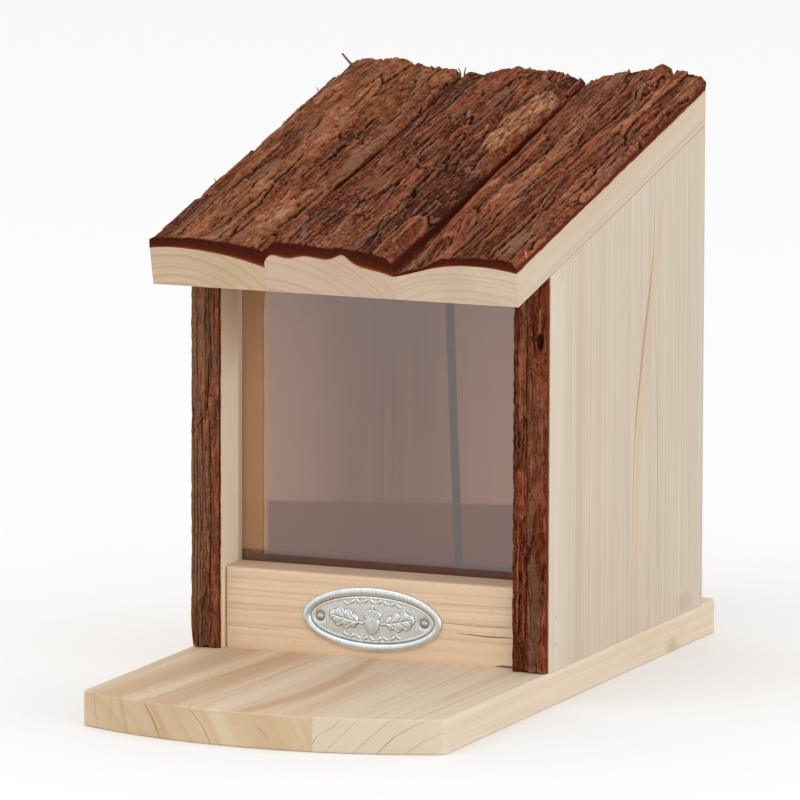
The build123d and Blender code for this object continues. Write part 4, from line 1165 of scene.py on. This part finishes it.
# Each board's pine. Stains and spots of painted light and shade each have their middle and their reach in
# mm in the frame, their colour and their strength
ROOF_PINE = dict(
    grain="Y", pale=(206, 187, 165), late=(178, 150, 120), warm=(196, 174, 150), tilt=ROOF_SLOPE,
)
BOARD_WOODS = {
    "base_plank_wide": dict(
        grain="Y", pith=(-120, -60), pale=(222, 201, 174), late=(194, 160, 125), warm=(213, 186, 155),
        ring=7, contrast=0.35, end=(208, 184, 152), end_late=(182, 148, 110), end_contrast=0.35,
        streaky=0.25, marks=BASE_MARKS, stains_and_painted_light=[((-71.8, -87.8, 15), (0.5, 0.9, 2), (70, 48, 32), 0.8)],
    ),
    "base_plank_narrow": dict(
        grain="Y", pith=(110, -45), pale=(225, 208, 185), late=(200, 174, 144), warm=(217, 197, 171),
        ring=6, contrast=0.2, end=(215, 199, 177), end_late=(204, 182, 154), end_contrast=0.15, streaky=0.2,
        marks=NARROW_MARKS, stains_and_painted_light=[((83.7, 112, 2), (4, 9, 4), (158, 138, 108), 0.4)],
    ),
    "back_panel": dict(
        grain="Z", pith=(10, 240), pale=PALE, late=LATE, warm=WARM, ring=4, contrast=0.6, end=WARM,
    ),
    "post_left": dict(
        # Paler than the right post's pine, as painted light on its inner face
        grain="Z", pith=(-75, -160), pale=(233, 215, 192), late=(208, 182, 152), warm=(224, 203, 178),
        ring=2.5, contrast=0.35, stains_and_painted_light=[
            # Painted light on the post's inner face, lower down, and painted shade near its top under the
            # roof
            ((-66, -20, 90), (8, 40, 100), (252, 238, 216), 0.8),
            ((-72, -20, 215), (14, 60, 75), (170, 124, 88), 0.85),
        ],
    ),
    "post_right": dict(
        grain="Z", pith=(80, -160), pale=(212, 199, 180), late=LATE, warm=(205, 190, 170), ring=2.5,
        contrast=0.3, streaky=0.3, stains_and_painted_light=[((83.7, -19.9, 184), (3, 3, 4), (196, 158, 142), 0.4)],
    ),
    "side_panel_left": dict(
        grain="Z", pith=(-110, 150), pale=(214, 199, 180), late=LATE, warm=(205, 187, 166), ring=2.8,
        contrast=0.45,
    ),
    "side_panel_right": dict(
        grain="Z", pith=(60, 260), pale=PALE, late=LATE, warm=WARM, ring=3.6, marks=SIDE_MARKS,
        stains_and_painted_light=[((83.7, 126, 20), (4, 10, 5), (170, 150, 122), 0.3)],
    ),
    "front_board": dict(
        grain="X", pith=(-60, 90), pale=(233, 209, 181), late=(202, 160, 119), warm=(226, 197, 167), ring=4,
        contrast=0.55, ticks=0.3, marks=BOARD_MARKS,
    ),
    "roof_plank_left": dict(
        **ROOF_PINE, pith=(-72, 150), ring=3.2, contrast=0.3, end=(202, 178, 150), end_late=(172, 140, 106),
    ),
    "roof_plank_middle": dict(
        **ROOF_PINE, pith=(-30, 140), contrast=0.3, end=(200, 173, 152), end_late=(174, 142, 118),
    ),
    "roof_plank_right": dict(
        **ROOF_PINE, pith=(60, 130), contrast=0.2, end=(206, 185, 162), end_late=(178, 150, 122),
        streaky=0.2,
    ),
}

for seed, (board, look) in enumerate(BOARD_WOODS.items(), 1):
    give(nodes[board], wood("pine_" + board, seed=seed, **look))

# Pane and metal
give(nodes["window_pane"], pane_material("smoky_pane"))
HARDWARE = zinc("zinc_hardware", (196, 198, 196), 0.38, 0.04)
FIXINGS = zinc("zinc_fixings", (190, 190, 186), 0.34, 0.02)
for name, node in nodes.items():
    if "leaf" in name or name == "hanger_plate":
        give(node, HARDWARE)
    elif "screws" in name or "pin" in name or "brads" in name:
        give(node, FIXINGS)


# Emblem: a pressed oval with a raised rim, an acorn between two oak leaves and arcs of seeds, in mm
EMBLEM_RINGS = 110
EMBLEM_SPOKES = 420
RIM_WIDTH = 3.4
RIM_HEIGHT = 1.46
RIM_FOOT = 0.35
FIELD_HEIGHT = 0.62
MOTIF_HEIGHT = 0.78
PIN_OUT = 24.1
PIN_RADIUS = 1.9
LEAF_OUT = 12.4
LEAF_TURN = math.radians(12)
LEAF_HALF = 6.6
LEAF_WIDE = 4.5
LEAF_LOBE = 4.1
SEED_ARC = (22.5, 8.1)
SEED_STEP = 8.2  # in degrees
SEED_SLANT = math.radians(35)
SEED_HALF = (1.25, 0.6)
HOLLOW_REACH = 0.55  # how far round each point the plate is compared with it
PLATE_INSET = 0.02  # how far the pressed plate stays inside the plain one
PLATE_LIFT = 0.01  # how far its flat back stays off the board


def leaf_relief(x, z, middle, turn):
    """A broad oak leaf with rounded lobes and veins, from 0 at its edge to 1 on its blade."""
    s = ((x - middle) * math.cos(turn) + z * math.sin(turn)) * np.sign(middle)
    t = z * math.cos(turn) - (x - middle) * math.sin(turn)
    blunt = np.clip(1 - ((s - 0.6) / LEAF_HALF) ** 2, 0, 1) ** 0.42
    lobes = np.abs(np.cos(np.pi * (s + 0.25 * np.abs(t)) / LEAF_LOBE)) ** 0.7
    half = LEAF_WIDE * blunt * (0.66 + 0.34 * lobes)
    inside = half - np.abs(t)
    raised = step(-0.05, 0.5, inside) * (0.8 + 0.2 * step(0.4, 2.2, inside))
    vein = 0.45 * np.exp(-(t / 0.3) ** 2) * step(LEAF_HALF, LEAF_HALF - 1, np.abs(s))
    side = (s - 0.9 * np.abs(t)) / LEAF_LOBE + 0.5
    ribs = 0.3 * np.exp(-((side - np.floor(side) - 0.5) / 0.1) ** 2) * step(0.4, 0.9, inside)
    stalk = step(0.6, 0.3, np.abs(t)) * step(0.5, 0, np.abs(s + LEAF_HALF) - 1.6)
    return np.maximum(raised - np.maximum(vein, ribs), 0.7 * stalk)


def acorn_relief(x, z):
    """An acorn on its stalk, with a hatched cap."""
    nut = 1 - np.sqrt((x / 3.4) ** 2 + ((z + 1.5) / 4.9) ** 2)
    cap = 1 - np.sqrt((x / 4.3) ** 2 + ((z - 2.0) / 2.6) ** 2)
    nut = step(-0.02, 0.14, nut) * (0.7 + 0.3 * step(0, 0.7, nut)) * step(1.3, 0.9, z)
    hatch = 0.3 * (np.abs(np.sin((x + z) * 2.2)) ** 6 + np.abs(np.sin((x - z) * 2.2)) ** 6)
    cap = step(-0.02, 0.18, cap) * (1 - np.minimum(hatch, 0.35)) * step(0.3, 0.7, z)
    stalk = step(0.7, 0.35, np.abs(x - 0.12 * (z - 4))) * step(4.2, 4.6, z) * step(6.6, 6.2, z)
    return np.maximum(np.maximum(nut, cap), 0.7 * stalk)


def seed_relief(x, z):
    """Two arcs of slanted seeds, above and below the motif."""
    raised = np.zeros(x.shape)
    for side in (-1, 1):
        for index in range(-4, 5):
            turn = math.radians(90 + index * SEED_STEP)
            away_x = x - SEED_ARC[0] * math.cos(turn)
            away_z = z - side * SEED_ARC[1] * math.sin(turn)
            slant = SEED_SLANT if index % 2 else -SEED_SLANT
            s = away_x * math.cos(slant) + away_z * math.sin(slant)
            t = away_z * math.cos(slant) - away_x * math.sin(slant)
            far = np.sqrt((s / SEED_HALF[0]) ** 2 + (t / SEED_HALF[1]) ** 2)
            raised = np.maximum(raised, step(1.2, 0.5, far))
    return raised


def emblem_heights(x, z, half_x, half_z):
    """How far the face of the plate stands off the board, in mm."""
    reach = np.sqrt((x / half_x) ** 2 + (z / half_z) ** 2)
    pull = np.sqrt((x / half_x ** 2) ** 2 + (z / half_z ** 2) ** 2)
    inset = np.where(reach > 0.05, reach * (1 - reach) / np.maximum(pull, 1e-6), half_z)
    rim = np.sqrt(np.clip(1 - ((inset - RIM_WIDTH / 2) / (RIM_WIDTH / 2 + 0.15)) ** 2, 0, 1))
    groove = np.exp(-((inset - RIM_WIDTH - 0.35) / 0.35) ** 2)
    bevel = step(RIM_WIDTH + 2.0, RIM_WIDTH + 0.3, inset)
    field = FIELD_HEIGHT - 0.32 * groove + 0.16 * bevel - 0.05 * layered(x / 6, z / 5, 5)
    motif = np.maximum(acorn_relief(x, z), seed_relief(x, z) * 0.7)
    for side in (-1, 1):
        motif = np.maximum(motif, leaf_relief(x, z, side * LEAF_OUT, side * LEAF_TURN))
    field = field + MOTIF_HEIGHT * motif
    # The field dips a little round each pin
    for side in (-1, 1):
        far = np.sqrt((x - side * PIN_OUT) ** 2 + z ** 2)
        field = field - 0.22 * np.exp(-((far - PIN_RADIUS) / 0.8) ** 2)
    return np.where(inset < RIM_WIDTH, RIM_FOOT + (RIM_HEIGHT - RIM_FOOT) * rim, field)


def emblem():
    """The pressed plate, as rings of points from its rim to its centre and a flat back."""
    low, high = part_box("emblem_plate")
    middle = (low + high) / 2
    half_x = (high.x - low.x) / 2 / MM - PLATE_INSET
    half_z = (high.z - low.z) / 2 / MM - PLATE_INSET
    share = np.repeat(np.linspace(1, 0, EMBLEM_RINGS, endpoint=False), EMBLEM_SPOKES)
    turn = np.tile(np.arange(EMBLEM_SPOKES) * 2 * np.pi / EMBLEM_SPOKES, EMBLEM_RINGS)
    x = np.append(share * np.cos(turn) * half_x, 0)
    z = np.append(share * np.sin(turn) * half_z, 0)
    front = emblem_heights(x, z, half_x, half_z)
    around = []
    for angle in np.arange(8) * math.pi / 4:
        near_x = x + HOLLOW_REACH * math.cos(angle)
        near_z = z + HOLLOW_REACH * math.sin(angle)
        around.append(emblem_heights(near_x, near_z, half_x, half_z))
    # How far each point lies below the plate round it: hollows are painted darker and raised edges get a
    # painted highlight
    hollow = np.mean(around, axis=0) - front
    # A painted shadow: a dark ring round each pin
    for side in (-1, 1):
        hollow = hollow + 0.2 * np.exp(-((np.hypot(x - side * PIN_OUT, z) - PIN_RADIUS) / 0.35) ** 2)
    # The rim's points come once more, as the edge of the flat back
    x = np.append(x, x[:EMBLEM_SPOKES])
    z = np.append(z, z[:EMBLEM_SPOKES])
    out = np.append(front, np.full(EMBLEM_SPOKES, PLATE_LIFT))
    hollow = np.append(hollow, np.zeros(EMBLEM_SPOKES))
    points = np.stack([middle.x + x * MM, high.y - out * MM, middle.z + z * MM], -1)
    faces = band_faces(EMBLEM_RINGS, EMBLEM_SPOKES)
    centre = EMBLEM_RINGS * EMBLEM_SPOKES
    last, back = centre - EMBLEM_SPOKES, centre + 1
    for spoke in range(EMBLEM_SPOKES):
        after = (spoke + 1) % EMBLEM_SPOKES
        faces.append((last + spoke, last + after, centre))
        faces.append((spoke, back + spoke, back + after, after))
    faces.append(tuple(back + spoke for spoke in reversed(range(EMBLEM_SPOKES))))
    piece = mesh_piece("emblem_pressed", points, faces, {"hollow": hollow})
    mesh = bmesh.new()
    mesh.from_mesh(piece.data)
    bmesh.ops.recalc_face_normals(mesh, faces=mesh.faces)
    mesh.to_mesh(piece.data)
    mesh.free()
    give(piece, emblem_material("zinc_emblem"))
    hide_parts("emblem_plate")
    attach(piece, "root")


emblem()


# Floor, light and camera

def studio():
    """A pale floor, an even light all round and two soft lamps."""
    bpy.ops.mesh.primitive_plane_add(size=FLOOR_SIZE, location=(0, 0, 0))
    floor = bpy.context.object
    floor.name = "floor"
    give(floor, Paint("pale_floor", Roughness=0.9, Specular_IOR_Level=0.0).finish(FLOOR_GREY))
    world = bpy.data.worlds.new("studio")
    bpy.context.scene.world = world
    world.use_nodes = True
    background = world.node_tree.nodes["Background"]
    background.inputs["Color"].default_value = rgba(1.0)
    background.inputs["Strength"].default_value = 1.0
    for name, (place, size, power) in LAMPS.items():
        data = bpy.data.lights.new(name, "AREA")
        data.size = size
        data.energy = power
        light = bpy.data.objects.new(name, data)
        light.location = place
        light.rotation_mode = "QUATERNION"
        light.rotation_quaternion = (LAMP_TARGET - Vector(place)).to_track_quat("-Z", "Y")
        bpy.context.scene.collection.objects.link(light)


def camera():
    """A camera that looks at the feeder as the photograph does."""
    back = Vector((
        math.sin(CAMERA_YAW) * math.cos(CAMERA_PITCH),
        -math.cos(CAMERA_YAW) * math.cos(CAMERA_PITCH),
        math.sin(CAMERA_PITCH),
    ))
    level_right = Vector((math.cos(CAMERA_YAW), math.sin(CAMERA_YAW), 0))
    level_up = back.cross(level_right)
    right = math.cos(CAMERA_ROLL) * level_right + math.sin(CAMERA_ROLL) * level_up
    up = math.cos(CAMERA_ROLL) * level_up - math.sin(CAMERA_ROLL) * level_right
    data = bpy.data.cameras.new("camera")
    data.lens = CAMERA_LENS
    data.clip_end = 50
    made = bpy.data.objects.new("camera", data)
    turn = Matrix((right, up, back)).transposed().to_4x4()
    made.matrix_world = Matrix.Translation(CAMERA_PLACE) @ turn
    bpy.context.scene.collection.objects.link(made)
    bpy.context.scene.camera = made


studio()
camera()
bpy.context.scene.view_settings.view_transform = "Standard"
